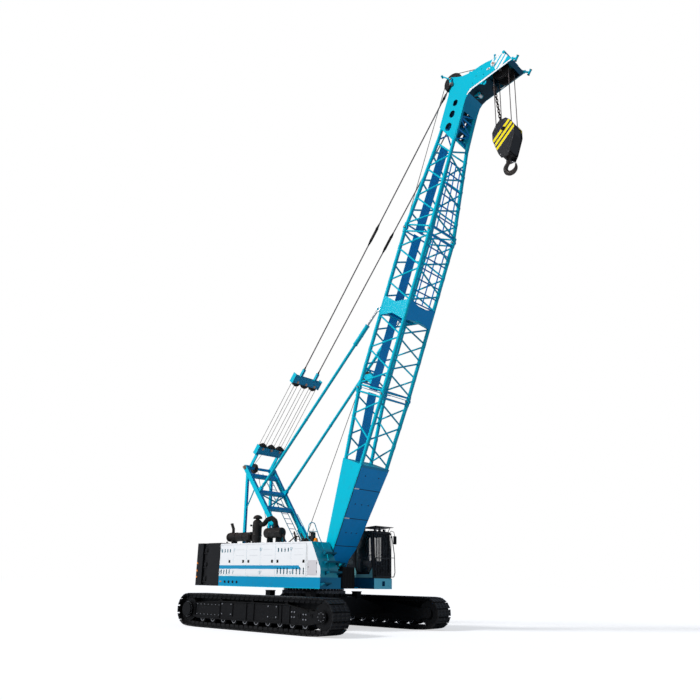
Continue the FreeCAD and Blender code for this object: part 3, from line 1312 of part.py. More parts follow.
# ---------------------------------------------------------------- build
def build():
    os.makedirs("parts", exist_ok=True)
    for name, side in (("right", -1), ("left", 1)):
        save("track_" + name, track(side))
        save("track_frame_" + name, track_frame(side))
        save("backstop_tube_" + name, backstop_tube(side))
        save("backstop_rod_" + name, backstop_rod(side))
    save("drive_sprockets", [drive_sprocket(side) for side in (-1, 1)])
    save("idlers", [idler(side) for side in (-1, 1)])
    save("idler_axles", [idler_axle(side) for side in (-1, 1)])
    save("bottom_rollers", [bottom_roller(x, side) for side in (-1, 1) for x in roller_places()])
    save("carrier_rollers", [carrier_roller(x, side) for side in (-1, 1) for x in CARRIER_XS])
    save("final_drives", [case for side in (-1, 1) for case in final_drive(side)])
    save("carbody", carbody())
    save("slewing_ring_fixed", slewing_ring_fixed())
    save("slewing_ring_turning", slewing_ring_turning())
    save("revolving_frame", revolving_frame())
    save("foot_pins", foot_pins())
    save("right_deck", right_deck())
    save("left_deck", left_deck())
    save("right_housing", right_housing())
    save("left_housing", left_housing())
    for index in range(len(BAY_SEAMS) - 1):
        save("right_door_%d" % (index + 1), right_door(index))
    save("engine_block", engine_block())
    save("counterweight", counterweight())
    save("cab_platform", cab_platform())
    save("cab_shell", cab_shell())
    save("cab_door", cab_door())
    save("cab_guard", cab_guard())
    save("operator_seat", operator_seat())
    save("boarding_steps", boarding_steps())
    save("muffler", muffler())
    save("air_cleaner", air_cleaner())
    save("boom_foot_section", boom_foot_section())
    save("boom_middle_section", boom_middle_section())
    save("boom_top_section", boom_top_section())
    save("boom_head", boom_head())
    save("tip_sheaves", tip_sheaves())
    save("knee_sheave", knee_sheave())
    save("guide_sheave", guide_sheave())
    save("gantry_sheave", gantry_sheave())
    save("gantry_front_frame", gantry_front_frame())
    save("gantry_rear_legs", gantry_rear_legs())
    save("lower_spreader", lower_spreader())
    save("upper_spreader", upper_spreader())
    save("pendants", pendants())
    save("hook_block", hook_block())
    save("block_sheaves", block_sheaves())
    save("hook", hook())
    save("hoist_falls", hoist_falls())
    save("main_winch_drum", winch_drum(MAIN_WINCH))
    save("luffing_winch_drum", winch_drum(LUFF_WINCH))


build()
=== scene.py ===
import math
from functools import partialmethod

import bpy
from mathutils import Matrix, Vector


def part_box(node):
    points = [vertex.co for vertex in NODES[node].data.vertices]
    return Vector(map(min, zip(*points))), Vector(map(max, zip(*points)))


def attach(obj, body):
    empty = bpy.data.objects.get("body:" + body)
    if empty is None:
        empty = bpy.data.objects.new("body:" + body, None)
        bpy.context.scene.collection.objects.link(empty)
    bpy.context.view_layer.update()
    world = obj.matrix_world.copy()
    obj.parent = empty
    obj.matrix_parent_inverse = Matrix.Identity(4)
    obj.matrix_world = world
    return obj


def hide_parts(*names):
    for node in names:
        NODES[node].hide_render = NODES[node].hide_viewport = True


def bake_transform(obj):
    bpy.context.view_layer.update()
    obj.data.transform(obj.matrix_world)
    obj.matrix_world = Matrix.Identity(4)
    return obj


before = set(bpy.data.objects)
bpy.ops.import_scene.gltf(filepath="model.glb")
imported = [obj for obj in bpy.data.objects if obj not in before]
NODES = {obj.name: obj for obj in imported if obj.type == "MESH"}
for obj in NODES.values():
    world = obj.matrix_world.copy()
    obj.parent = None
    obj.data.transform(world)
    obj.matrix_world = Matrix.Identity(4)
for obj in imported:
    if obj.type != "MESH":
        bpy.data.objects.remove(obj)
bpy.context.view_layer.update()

SIDES = {"right": -1, "left": 1}
UP, DOWN, RIGHT, LEFT, AHEAD = (0, 0, 1), (0, 0, -1), (0, -1, 0), (0, 1, 0), (1, 0, 0)

# -------------------- places on the machine, in metres
BOOM_ANGLE = math.radians(69.4)
BOOM_FOOT = Vector((1.0, 0.0, 2.05))
ALONG = Vector((math.cos(BOOM_ANGLE), 0.0, math.sin(BOOM_ANGLE)))
BEHIND = Vector((-math.sin(BOOM_ANGLE), 0.0, math.cos(BOOM_ANGLE)))
# place along the boom, half width, front face and rear face
BOOM_STATIONS = ((0.0, 0.42, -0.14, 0.14), (1.0, 0.64, -0.245, 0.2), (4.3, 0.84, -0.589, 0.395),
                 (7.05, 0.87, -0.65, 0.735), (13.6, 0.87, -0.65, 0.735), (17.4, 0.54, -0.28, 0.665))
CHORD = 0.075
APEX = Vector((-3.51, 0.0, 6.33))
GANTRY_FOOT = Vector((-0.45, 0.0, 2.25))


def on_boom(s, y, t):
    """A point given along the boom, across it and behind its axis."""
    point = BOOM_FOOT + ALONG * s + BEHIND * t
    return Vector((point.x, y, point.z))


def boom_face(s, column):
    """Half width (1), front (2) or rear (3) of the boom's outer faces."""
    for low, high in zip(BOOM_STATIONS[:-1], BOOM_STATIONS[1:]):
        if s <= high[0]:
            break
    return low[column] + (high[column] - low[column]) * (s - low[0]) / (high[0] - low[0])


HEAD_STAY = on_boom(19.78, 0.0, 0.69)
STAY_WAY = (HEAD_STAY - APEX).normalized()
STAY_OUT = Vector((STAY_WAY.z, 0.0, -STAY_WAY.x))
TIP = on_boom(20.3, 0.0, -1.3)


def along_stay(distance, y, out=0.0):
    """A point along the stays from the gantry's top, and out from their plane."""
    point = APEX + STAY_WAY * distance + STAY_OUT * out
    return Vector((point.x, y, point.z))


# -------------------- shaping tools
def clear_selection():
    bpy.ops.object.select_all(action="DESELECT")


def only(piece):
    """Selects one piece alone and makes it the active one."""
    clear_selection()
    piece.select_set(True)
    bpy.context.view_layer.objects.active = piece


def edit(piece):
    """Starts shaping one piece with nothing on it selected."""
    only(piece)
    bpy.ops.object.mode_set(mode="EDIT")
    bpy.ops.mesh.select_all(action="DESELECT")
    bpy.ops.object.mode_set(mode="OBJECT")


def pick_faces(piece, test=lambda face: True):
    """Selects the faces that pass the test, and enters edit mode on them."""
    edit(piece)
    for face in piece.data.polygons:
        face.select = bool(test(face))
    bpy.ops.object.mode_set(mode="EDIT")
    bpy.ops.mesh.select_mode(type="FACE")


def leave_edit():
    bpy.ops.object.mode_set(mode="OBJECT")


def extrude(push):
    bpy.ops.mesh.extrude_region_move(TRANSFORM_OT_translate={"value": push})


def extrude_rings(start, axis, steps):
    """Draws the selection out along an axis through rings of (distance, radius)."""
    for (a, r0), (b, r1) in steps:
        extrude(axis * (b - a))
        bpy.ops.transform.resize(value=(r1 / r0,) * 3, center_override=Vector(start) + axis * b)


def close_up(soften=0.0):
    """Turns all faces outwards, breaks the edges where asked, and leaves edit mode."""
    bpy.ops.mesh.select_all(action="SELECT")
    bpy.ops.mesh.normals_make_consistent(inside=False)
    if soften:
        bpy.ops.mesh.bevel(offset=soften, segments=1, affect="EDGES")
    leave_edit()


def settled(piece):
    """Puts the piece's place into its mesh, with its object at the origin."""
    only(piece)
    bpy.ops.object.transform_apply(location=True, rotation=True, scale=True)
    return piece


def applied(piece, kind, **settings):
    """Gives a piece a modifier with its settings, and applies it."""
    made = piece.modifiers.new(kind, kind)
    for key, value in settings.items():
        setattr(made, key, value)
    only(piece)
    bpy.ops.object.modifier_apply(modifier=made.name)
    return piece


def slab(low, high, soften=0.004):
    """A block between two corners, with its edges broken."""
    low, high = Vector(low), Vector(high)
    bpy.ops.mesh.primitive_cube_add(size=1.0, location=(low + high) / 2)
    piece = bpy.context.object
    piece.scale = high - low
    settled(piece)
    if soften:
        bpy.ops.object.mode_set(mode="EDIT")
        bpy.ops.mesh.select_all(action="SELECT")
        bpy.ops.mesh.bevel(offset=soften, segments=1, affect="EDGES")
        leave_edit()
    return piece


def block(xs, ys, zs, soften=0.004):
    """A slab given by its three spans, each either way round."""
    low, high = (Vector((pick(xs), pick(ys), pick(zs))) for pick in (min, max))
    return slab(low, high, soften)


def on_side(outline, y):
    """Points given by X and Z, at a distance across the machine."""
    return [Vector((x, y, z)) for x, z in outline]


def aim(axis):
    return Vector(axis).to_track_quat("Z", "Y").to_euler()


def bar(start, end, radius, sides=12, soften=0.0):
    """A round bar between two points."""
    start, end = Vector(start), Vector(end)
    bpy.ops.mesh.primitive_cylinder_add(vertices=sides, radius=radius, depth=(end - start).length,
                                        location=(start + end) / 2, rotation=aim(end - start))
    piece = settled(bpy.context.object)
    if soften:
        pick_faces(piece, lambda face: len(face.vertices) > 4)
        bpy.ops.mesh.bevel(offset=soften, segments=2, affect="EDGES")
        leave_edit()
    return piece


def pin(middle, reach, radius, sides=12, soften=0.0):
    """A round bar that reaches equally far to both sides of its middle."""
    return bar(Vector(middle) - Vector(reach), Vector(middle) + Vector(reach), radius, sides, soften)


def boom_bar(start, end, radius, sides=12, soften=0.0):
    """A round bar between two points given along the boom, across it and behind its axis."""
    return bar(on_boom(*start), on_boom(*end), radius, sides, soften)


def cross_bar(s, half, t, radius, sides=12, soften=0.0):
    """A round bar square across the boom."""
    return boom_bar((s, -half, t), (s, half, t), radius, sides, soften)


def turned(start, axis, profile, sides=24):
    """A turned part: profile holds (distance along the axis, radius) from a flat start face."""
    axis = Vector(axis).normalized()
    at, radius = profile[0]
    bpy.ops.mesh.primitive_circle_add(vertices=sides, radius=radius, fill_type="NGON",
                                      location=Vector(start) + axis * at, rotation=aim(axis))
    piece = settled(bpy.context.object)
    pick_faces(piece)
    extrude_rings(start, axis, zip(profile[:-1], profile[1:]))
    close_up()
    return piece


def hoop(centre, axis, inner, outer, depth, sides=32):
    """A flat-sided ring that starts at its centre's plane and runs along its axis."""
    profile = [(0.0, inner), (0.0, outer), (depth, outer), (depth, inner)]
    axis = Vector(axis).normalized()
    bpy.ops.mesh.primitive_circle_add(vertices=sides, radius=inner, location=centre, rotation=aim(axis))
    piece = settled(bpy.context.object)
    edit(piece)
    bpy.ops.object.mode_set(mode="EDIT")
    bpy.ops.mesh.select_mode(type="EDGE")
    bpy.ops.mesh.select_all(action="SELECT")
    extrude_rings(centre, axis, zip(profile, profile[1:] + profile[:1]))
    bpy.ops.mesh.select_all(action="SELECT")
    bpy.ops.mesh.remove_doubles(threshold=1e-5)
    bpy.ops.mesh.normals_make_consistent(inside=False)
    leave_edit()
    return piece


def sheet_piece(points, push, soften=0.0):
    """A flat outline pushed out by a vector into a plate."""
    bpy.ops.mesh.primitive_circle_add(vertices=len(points), radius=1.0, fill_type="NGON")
    piece = bpy.context.object
    for vertex, point in zip(piece.data.vertices, points):
        vertex.co = point
    pick_faces(piece)
    extrude(Vector(push))
    close_up(soften)
    return piece


def boom_plate(points, y0, y1, soften=0.0):
    """A plate whose outline is given along and behind the boom's axis, between two distances across it."""
    return sheet_piece([on_boom(s, y0, t) for s, t in points], (0.0, y1 - y0, 0.0), soften)


def pipe(points, radius, bend=0.0, sides=8, radii=None, closed=False):
    """A bent tube along points, with its corners rounded by bend, as a mesh."""
    route = [Vector(point) for point in points]
    if bend:
        eased = [route[0]]
        for before, corner, after in zip(route[:-2], route[1:-1], route[2:]):
            eased += [corner + (before - corner).normalized() * bend, corner,
                      corner + (after - corner).normalized() * bend]
        route = eased + [route[-1]]
    line = bpy.data.curves.new("line", "CURVE")
    line.dimensions = "3D"
    line.bevel_depth = radius
    line.bevel_resolution = max(0, sides // 4 - 1) if sides > 4 else 0
    line.use_fill_caps = True
    spline = line.splines.new("NURBS" if bend or radii else "POLY")
    spline.points.add(len(route) - 1)
    for i, (point, at) in enumerate(zip(spline.points, route)):
        point.co = (*at, 1.0)
        point.radius = radii[i] if radii else 1.0
    if bend or radii:
        spline.order_u = 3
        spline.use_endpoint_u = True
        spline.resolution_u = 4
    spline.use_cyclic_u = closed
    piece = bpy.data.objects.new("line", line)
    bpy.context.collection.objects.link(piece)
    only(piece)
    bpy.ops.object.convert(target="MESH")
    return bpy.context.object


def joined(pieces):
    clear_selection()
    for piece in pieces:
        piece.select_set(True)
    bpy.context.view_layer.objects.active = pieces[0]
    if len(pieces) > 1:
        bpy.ops.object.join()
    return pieces[0]


def copies(piece, places):
    """Copies of a piece, each with its own mesh, joined into one; the first piece goes."""
    made = []
    for place in places:
        twin = piece.copy()
        twin.data = piece.data.copy()
        twin.data.transform(place)
        bpy.context.collection.objects.link(twin)
        made.append(twin)
    bpy.data.objects.remove(piece)
    return joined(made)


def cut_by(piece, cutter):
    """Cuts one piece out of another."""
    applied(piece, "BOOLEAN", operation="DIFFERENCE", object=cutter, solver="EXACT")
    bpy.data.objects.remove(cutter)
    return piece


def pressed(piece, way, least, border, depth):
    """Sinks a panel into the faces that look one way and are larger than the least, leaving a border."""
    pick_faces(piece, lambda face: face.normal.dot(way) > 0.9 and face.area > least)
    bpy.ops.mesh.inset(thickness=border, depth=0.0)
    bpy.ops.mesh.inset(thickness=abs(depth), depth=depth)
    leave_edit()
    return piece


def bolts(places, axis, radius):
    """Hexagon heads on a face, one at each place."""
    profile = [(-0.4 * radius, radius), (0.8 * radius, radius), (1.1 * radius, 0.75 * radius)]
    return copies(turned((0, 0, 0), axis, profile, sides=6), [Matrix.Translation(place) for place in places])


def span(start, end, count):
    """Evenly spaced values from start to end."""
    return [start + (end - start) * i / (count - 1) for i in range(count)]


def ring_places(centre, axis, radius, count, turn=0.0):
    """Evenly spaced places on a circle round an axis."""
    frame_turn = Vector(axis).to_track_quat("Z", "Y").to_matrix()
    places = []
    for i in range(count):
        angle = 2 * math.pi * (i + turn) / count
        spoke = Vector((radius * math.cos(angle), radius * math.sin(angle), 0.0))
        places.append(Vector(centre) + frame_turn @ spoke)
    return places


def finished(piece, name, finish, body="upper_works", smooth=True):
    """Names a piece, gives it its finish and hands it to the body it moves with."""
    if isinstance(piece, list):
        piece = joined(piece)
    piece.name = name
    piece.data.name = name
    piece.data.materials.clear()
    piece.data.materials.append(FINISHES[finish])
    if smooth:
        only(piece)
        bpy.ops.object.shade_smooth_by_angle(angle=math.radians(35))
    if body:
        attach(piece, body)
    return piece


# -------------------- node tools
FLOAT, COLOUR = "NodeSocketFloat", "NodeSocketColor"


def node(tree, kind, inputs=(), **settings):
    """A shader node with its settings; inputs maps socket names or numbers to values, fields or sockets."""
    made = tree.nodes.new(kind)
    for key, value in settings.items():
        setattr(made, key, value)
    for key, value in dict(inputs).items():
        if isinstance(value, Field):
            value = value.socket
        if isinstance(value, bpy.types.NodeSocket):
            tree.links.new(value, made.inputs[key])
        else:
            made.inputs[key].default_value = value
    return made


class Field:
    """A number that changes over a surface; sums, limits and tests on it become math nodes."""

    def __init__(self, tree, socket):
        self.tree = tree
        self.socket = socket

    def calc(self, operation, other=0.0, clamp=False):
        made = node(self.tree, "ShaderNodeMath", {0: self.socket, 1: other}, operation=operation)
        made.use_clamp = clamp
        return Field(self.tree, made.outputs[0])


for method, operation in (("__add__", "ADD"), ("__sub__", "SUBTRACT"), ("__mul__", "MULTIPLY"),
                          ("__truediv__", "DIVIDE"), ("__gt__", "GREATER_THAN"), ("__lt__", "LESS_THAN"),
                          ("__abs__", "ABSOLUTE"), ("at_least", "MAXIMUM"), ("at_most", "MINIMUM"),
                          ("fraction", "FRACT")):
    setattr(Field, method, partialmethod(Field.calc, operation))


def coordinates(tree, kind="Object"):
    """X, Y and Z of a place on the piece, or of its normal, as fields."""
    split = node(tree, "ShaderNodeSeparateXYZ", {0: node(tree, "ShaderNodeTexCoord").outputs[kind]})
    return [Field(tree, socket) for socket in split.outputs]


def reach(tree, place, axis):
    """How far a vector reaches along an axis."""
    made = node(tree, "ShaderNodeVectorMath", {0: place, 1: axis}, operation="DOT_PRODUCT")
    return Field(tree, made.outputs["Value"])


def measured_from(tree, origin):
    """The vector from an origin to the place on the piece."""
    place = node(tree, "ShaderNodeTexCoord").outputs["Object"]
    return node(tree, "ShaderNodeVectorMath", {0: place, 1: origin}, operation="SUBTRACT").outputs[0]


def noise(tree, place, scale, detail, rough=0.5):
    inputs = {"Vector": place, "Scale": scale, "Detail": detail, "Roughness": rough}
    return Field(tree, node(tree, "ShaderNodeTexNoise", inputs).outputs[0])


def mixed(tree, factor, a, b, blend="MIX"):
    """Colour a, turning to b as the factor rises; a colour is a socket or a plain triple."""
    a, b = ((*colour, 1.0) if isinstance(colour, tuple) else colour for colour in (a, b))
    made = node(tree, "ShaderNodeMix", {0: factor, 6: a, 7: b}, data_type="RGBA", blend_type=blend)
    return made.outputs[2]


def group(name, inputs, outputs):
    """An empty node group with named inputs and outputs; returns it with its input fields and its end."""
    made = bpy.data.node_groups.new(name, "ShaderNodeTree")
    for key, kind, value in inputs:
        socket = made.interface.new_socket(name=key, in_out="INPUT", socket_type=kind)
        if value is not None:
            socket.default_value = value
    for key, kind in outputs:
        made.interface.new_socket(name=key, in_out="OUTPUT", socket_type=kind)
    ins = made.nodes.new("NodeGroupInput")
    fields = {key: Field(made, ins.outputs[key]) for key, kind, value in inputs}
    return made, fields, made.nodes.new("NodeGroupOutput")


def give(made, outs, **values):
    """Links a group's results to its outputs."""
    for key, value in values.items():
        made.links.new(value.socket if isinstance(value, Field) else value, outs.inputs[key])
    return made


def placed_group(tree, made, inputs=()):
    return node(tree, "ShaderNodeGroup", inputs, node_tree=made)


def weathering():
    """Broad shifts of tone, fine grain, and grime in blotches and on ledges."""
    made, ins, outs = group("weathering", [
        ("Colour", COLOUR, None), ("Grime", COLOUR, None), ("Grime share", FLOAT, 0.3),
        ("Tone spread", FLOAT, 0.1), ("Patch size", FLOAT, 0.8), ("Roughness", FLOAT, 0.4),
        ("Roughness spread", FLOAT, 0.15), ("Grain", FLOAT, 60.0)],
        [("Colour", COLOUR), ("Roughness", FLOAT), ("Height", FLOAT)])
    place = node(made, "ShaderNodeTexCoord").outputs["Object"]
    broad = noise(made, place, ins["Patch size"], 4.0, 0.6)
    blotch = noise(made, place, ins["Patch size"] * 6.0, 6.0, 0.7)
    fine = noise(made, place, ins["Grain"], 2.0)
    spread = ins["Tone spread"]
    tone = node(made, "ShaderNodeMath", {0: broad, 1: spread, 2: 1.0}, operation="MULTIPLY_ADD").outputs[0]
    shift = Field(made, tone) - spread * 0.5
    grey = node(made, "ShaderNodeCombineColor", {0: shift, 1: shift, 2: shift}).outputs[0]
    toned = mixed(made, 1.0, ins["Colour"], grey, "MULTIPLY")
    spots = node(made, "ShaderNodeMapRange", {0: blotch, 1: 0.52, 2: 0.72, 3: 0.0, 4: 1.0}).outputs[0]
    normal = node(made, "ShaderNodeNewGeometry").outputs["Normal"]
    ledge = Field(made, node(made, "ShaderNodeSeparateXYZ", {0: normal}).outputs[2]).at_least(0.0)
    share = ins["Grime share"].calc("MULTIPLY", Field(made, spots) + ledge, clamp=True)
    colour = mixed(made, share, toned, ins["Grime"])
    rough = (blotch - 0.5) * ins["Roughness spread"]
    rough = ins["Roughness"].calc("ADD", rough, clamp=True)
    return give(made, outs, Colour=colour, Roughness=rough, Height=fine)


def boom_axes():
    """How far a point lies along the boom, and how far behind its axis."""
    made, ins, outs = group("boom_axes", [], [("Along", FLOAT), ("Behind", FLOAT)])
    arm = measured_from(made, BOOM_FOOT)
    return give(made, outs, Along=reach(made, arm, ALONG), Behind=reach(made, arm, BEHIND))


def banding():
    """1 inside evenly spaced bands of a value, 0 between them, within first and last."""
    made, ins, outs = group("banding", [("Value", FLOAT, 0.0), ("First", FLOAT, 0.0), ("Last", FLOAT, 1.0),
                                        ("Pitch", FLOAT, 0.2), ("Share", FLOAT, 0.5)], [("Mask", FLOAT)])
    value, first = ins["Value"], ins["First"]
    turn = ((value - first) / ins["Pitch"]).fraction()
    inside = (value > first) * (value < ins["Last"])
    return give(made, outs, Mask=(turn < ins["Share"]) * inside)


WEATHERING = weathering()
BOOM_AXES = boom_axes()
BANDING = banding()
FINISHES = {}


def banded(value, first, last, pitch, share):
    """Bands of a value as a mask."""
    limits = {"Value": value, "First": first, "Last": last, "Pitch": pitch, "Share": share}
    return Field(value.tree, placed_group(value.tree, BANDING, limits).outputs["Mask"])


def new_material(name, slot):
    """An empty material under its name; returns it with its node tree and its shader."""
    made = bpy.data.materials.new(name)
    made.use_nodes = True
    FINISHES[name] = made
    return made, made.node_tree, made.node_tree.nodes["Principled BSDF"]


def finish(name, slot, colour, rough=0.45, metallic=0.0, grime=(0.05, 0.045, 0.04), share=0.12, spread=0.12,
           patch=0.7, grain=90.0, bump=0.15, coat=0.0, paint=None, sheen=0.5):
    """A weathered surface; paint may return a colour socket that replaces the plain colour."""
    made, tree, shader = new_material(name, slot)
    shader.inputs["Metallic"].default_value = metallic
    shader.inputs["Coat Weight"].default_value = coat
    shader.inputs["Coat Roughness"].default_value = 0.12
    shader.inputs["Specular IOR Level"].default_value = sheen
    base = paint(tree) if paint else (*colour, 1.0)
    worn = placed_group(tree, WEATHERING, {
        "Colour": base, "Grime": (*grime, 1.0), "Grime share": share, "Tone spread": spread,
        "Patch size": patch, "Roughness": rough, "Roughness spread": 0.15, "Grain": grain})
    tree.links.new(worn.outputs["Colour"], shader.inputs["Base Color"])
    tree.links.new(worn.outputs["Roughness"], shader.inputs["Roughness"])
    dent = node(tree, "ShaderNodeBump", {"Height": worn.outputs["Height"], "Strength": bump,
                                         "Distance": 0.002})
    tree.links.new(dent.outputs[0], shader.inputs["Normal"])
    made.diffuse_color = (*colour, 1.0)


# -------------------- paints and finishes
CYAN = (0.0, 0.48, 0.63)
# painted shade: the deeper blue given to the boom's faces that look ahead
SHADED_FRONT_BLUE = (0.0, 0.31, 0.74)
DEEP_BLUE = (0.0, 0.27, 0.50)
WHITE = (0.84, 0.85, 0.86)


def boom_paint(tree):
    """Cyan, with painted shade: faces that look ahead turn to a deeper blue that stands in for their shading.
    """
    x, y, z = coordinates(tree, "Normal")
    ahead = (x - 0.45) * 3.0 - abs(y) * 6.0
    return mixed(tree, ahead.at_least(0.0).at_most(1.0), CYAN, SHADED_FRONT_BLUE)


def head_paint(tree):
    """Cyan, with a white edge strip and slanting white bands at the nose of the head."""
    s, t = (Field(tree, socket) for socket in placed_group(tree, BOOM_AXES).outputs)
    nose = banded(s * 0.322 + t * 0.947, 5.12, 5.70, 0.17, 0.65) * (s * 0.641 - t * 0.767 > 13.91)
    # distance behind the front edge, which runs down and forward from the knee to the nose
    lead = (s - 19.45) * 0.821 + (t + 0.33) * 0.571
    crank = (s - 19.18) * 0.385 + (t + 0.225) * 0.923
    edge = lead.at_least(crank)
    beyond = s > 19.27
    strip = (edge < 0.055) * beyond
    line = banded(edge, 0.055, 0.07, 1.0, 1.0) * beyond
    flat = abs(coordinates(tree, "Normal")[1]) > 0.7
    lined = mixed(tree, line, CYAN, (0.02, 0.05, 0.07))
    return mixed(tree, nose.at_least(strip) * flat, lined, (0.9, 0.92, 0.93))


def spreader_paint(tree):
    """Cyan box with painted shade, a deeper blue on its faces across the stays, and its sheaves black where
    they stand out of it.
    """
    arm = measured_from(tree, APEX)
    along = reach(tree, arm, STAY_WAY)
    y = Field(tree, node(tree, "ShaderNodeSeparateXYZ", {0: arm}).outputs[1])
    middle = abs(y) < 0.715
    lower = banded(along, 1.083, 1.3, 9.0, 1.0)
    upper = banded(along, 4.0, 4.287, 9.0, 1.0)
    mask = lower.at_least(upper) * middle
    facing = reach(tree, node(tree, "ShaderNodeTexCoord").outputs["Normal"], STAY_OUT)
    # painted shade: faces across the stays turn deeper blue
    face = mixed(tree, abs(facing) > 0.7, CYAN, DEEP_BLUE)
    return mixed(tree, mask, face, (0.008, 0.008, 0.009))


def frame_paint(tree):
    """Blue deck frame, painted black above the deck where the boom's foot and the winches stand, as painted
    shade for that recess.
    """
    z = coordinates(tree)[2]
    # painted shade: near-black above the deck stands in for the shadowed recess
    return mixed(tree, z > 1.862, DEEP_BLUE, (0.006, 0.007, 0.008))


def platform_paint(tree):
    """Cab platform with painted light: a pale blue painted sheen on its front end, and navy painted shadow on
    the side towards the boom.
    """
    x, y, z = coordinates(tree, "Normal")
    # painted shadow: navy on the side that faces the boom
    dark = mixed(tree, y < -0.5, DEEP_BLUE, (0.0, 0.09, 0.2))
    # painted sheen: pale blue on the faces that look ahead
    return mixed(tree, x > 0.5, dark, (0.18, 0.78, 1.0))


def housing_paint(tree):
    """White, with one blue stripe along the side that ends on a slant, and cyan on its nose."""
    x, y, z = coordinates(tree)
    high = (z > 2.114) * (z < 2.251)
    end = x + z < 3.01
    outside = abs(y) > 1.6
    striped = mixed(tree, high * end * outside, WHITE, DEEP_BLUE)
    return mixed(tree, coordinates(tree, "Normal")[0] > 0.5, striped, CYAN)


def block_paint(tree):
    """Black, with three slanting yellow stripes edged in dark blue on the cheeks."""
    x, y, z = coordinates(tree)
    lean = (z - 17.6) * 0.72 - (x - TIP.x) * 0.69
    blue = banded(lean, -0.18, 0.41, 0.18, 0.99)
    yellow = banded(lean, -0.14, 0.37, 0.18, 0.6)
    flat = abs(coordinates(tree, "Normal")[1]) > 0.7
    under = mixed(tree, blue * flat, (0.014, 0.014, 0.015), (0.005, 0.006, 0.05))
    return mixed(tree, yellow * flat, under, (0.88, 0.72, 0.0))


DUST = (0.16, 0.15, 0.135)
PAINTED = {"rough": 0.4, "coat": 0.06, "sheen": 0.15}
DECK = {"rough": 0.42, "coat": 0.05, "sheen": 0.2}
# cyan_paint carries painted shade: its faces that look ahead turn deeper blue
finish("cyan_paint", "boom_blue", CYAN, paint=boom_paint, **PAINTED)
finish("head_paint", "boom_blue", CYAN, paint=head_paint, **PAINTED)
finish("spreader_paint", "boom_blue", CYAN, rough=0.4, coat=0.08, sheen=0.22, paint=spreader_paint)
# painted shade: a deeper copy of the boom's blue for the front ladder and the head's bracing, which lie in
# shadow
finish("shaded_deep_paint", "boom_blue", (0.0, 0.24, 0.62), rough=0.4, coat=0.05, sheen=0.15)
# painted shade: dark navy for the head's end cap, in place of its shadow
finish("shaded_navy_paint", "boom_blue", (0.0, 0.07, 0.14), sheen=0.2)
finish("shade_blue", "boom_blue", (0.0, 0.03, 0.055), rough=0.5, sheen=0.2)
finish("frame_paint", "deck_blue", DEEP_BLUE, paint=frame_paint, **DECK)
finish("platform_paint", "deck_blue", DEEP_BLUE, paint=platform_paint, **DECK)
finish("chain_steel", "block_yellow", (0.05, 0.035, 0.03), rough=0.5, metallic=0.4, share=0.3)
finish("amber_metal", "rope_steel", (0.6, 0.3, 0.2), rough=0.35, metallic=0.6, share=0.2)
finish("deck_paint", "deck_blue", DEEP_BLUE, rough=0.42, coat=0.08, sheen=0.22)
# painted shade: a dark copy of the nose's blue for the boarding steps and their treads
finish("shaded_teal_paint", "deck_blue", (0.0, 0.13, 0.21), **DECK)
finish("white_paint", "housing_white", WHITE, rough=0.35, coat=0.4, share=0.05, spread=0.05,
       paint=housing_paint)
finish("white_plain", "housing_white", WHITE, rough=0.35, coat=0.4, share=0.05, spread=0.05)
finish("grey_paint", "housing_white", (0.62, 0.6, 0.62), rough=0.4, share=0.05)
finish("pale_paint", "housing_white", (0.62, 0.64, 0.66), rough=0.4, share=0.05)
finish("running_gear", "undercarriage_black", (0.004, 0.004, 0.0045), rough=0.42, grime=DUST, share=0.06,
       spread=0.8, patch=4.0, bump=0.8, sheen=0.2)
finish("shoe_steel", "undercarriage_black", (0.014, 0.014, 0.015), rough=0.32, metallic=0.4, grime=DUST,
       share=0.14, spread=0.6, patch=4.0, bump=0.5, sheen=0.3)
finish("polished_pins", "undercarriage_black", (0.45, 0.45, 0.46), rough=0.3, metallic=0.9, grime=DUST,
       share=0.2)
finish("ballast_black", "counterweight_black", (0.01, 0.01, 0.011), rough=0.55, share=0.1, spread=0.4,
       bump=0.5, grain=40.0, sheen=0.3)
finish("cab_black", "cab_dark", (0.014, 0.016, 0.02), rough=0.35, coat=0.2, sheen=0.3)
finish("cab_teal", "cab_dark", (0.2, 0.52, 0.55), rough=0.35, coat=0.2)
finish("cab_grey", "cab_dark", (0.05, 0.05, 0.055), rough=0.6, grain=200.0, bump=0.3)
finish("rubber", "cab_dark", (0.01, 0.01, 0.01), rough=0.8, share=0.2, sheen=0.3)
finish("roof_black", "cab_dark", (0.016, 0.015, 0.014), rough=0.4, grime=(0.1, 0.06, 0.04), share=0.15,
       sheen=0.3)
finish("exhaust_black", "engine_grey", (0.014, 0.013, 0.012), rough=0.5, grime=(0.12, 0.07, 0.05), share=0.2,
       sheen=0.3)
finish("seat_cloth", "seat_fabric", (0.03, 0.03, 0.032), rough=0.9, grain=400.0, bump=0.6)
finish("engine_grey", "engine_grey", (0.15, 0.15, 0.16), rough=0.6, metallic=0.4)
finish("rope_wire", "rope_steel", (0.24, 0.2, 0.19), rough=0.5, metallic=0.7, grain=500.0, bump=0.8,
       grime=(0.02, 0.02, 0.02), share=0.4, patch=8.0)
finish("sheave_black", "sheave_dark", (0.02, 0.018, 0.017), metallic=0.3, grime=(0.1, 0.05, 0.03), share=0.2)
finish("block_paint", "block_yellow", (0.015, 0.015, 0.016), paint=block_paint)
finish("hook_steel", "block_yellow", (0.10, 0.085, 0.075), rough=0.38, metallic=0.8,
       grime=(0.03, 0.02, 0.015), share=0.5, spread=0.6, patch=3.0)
finish("amber_lens", "deck_blue", (0.9, 0.25, 0.0), rough=0.2, share=0.0, coat=0.8)
finish("red_lens", "deck_blue", (0.6, 0.02, 0.01), rough=0.2, share=0.0, coat=0.8)
finish("bright_steel", "rope_steel", (0.6, 0.6, 0.62), rough=0.3, metallic=0.9, share=0.1)


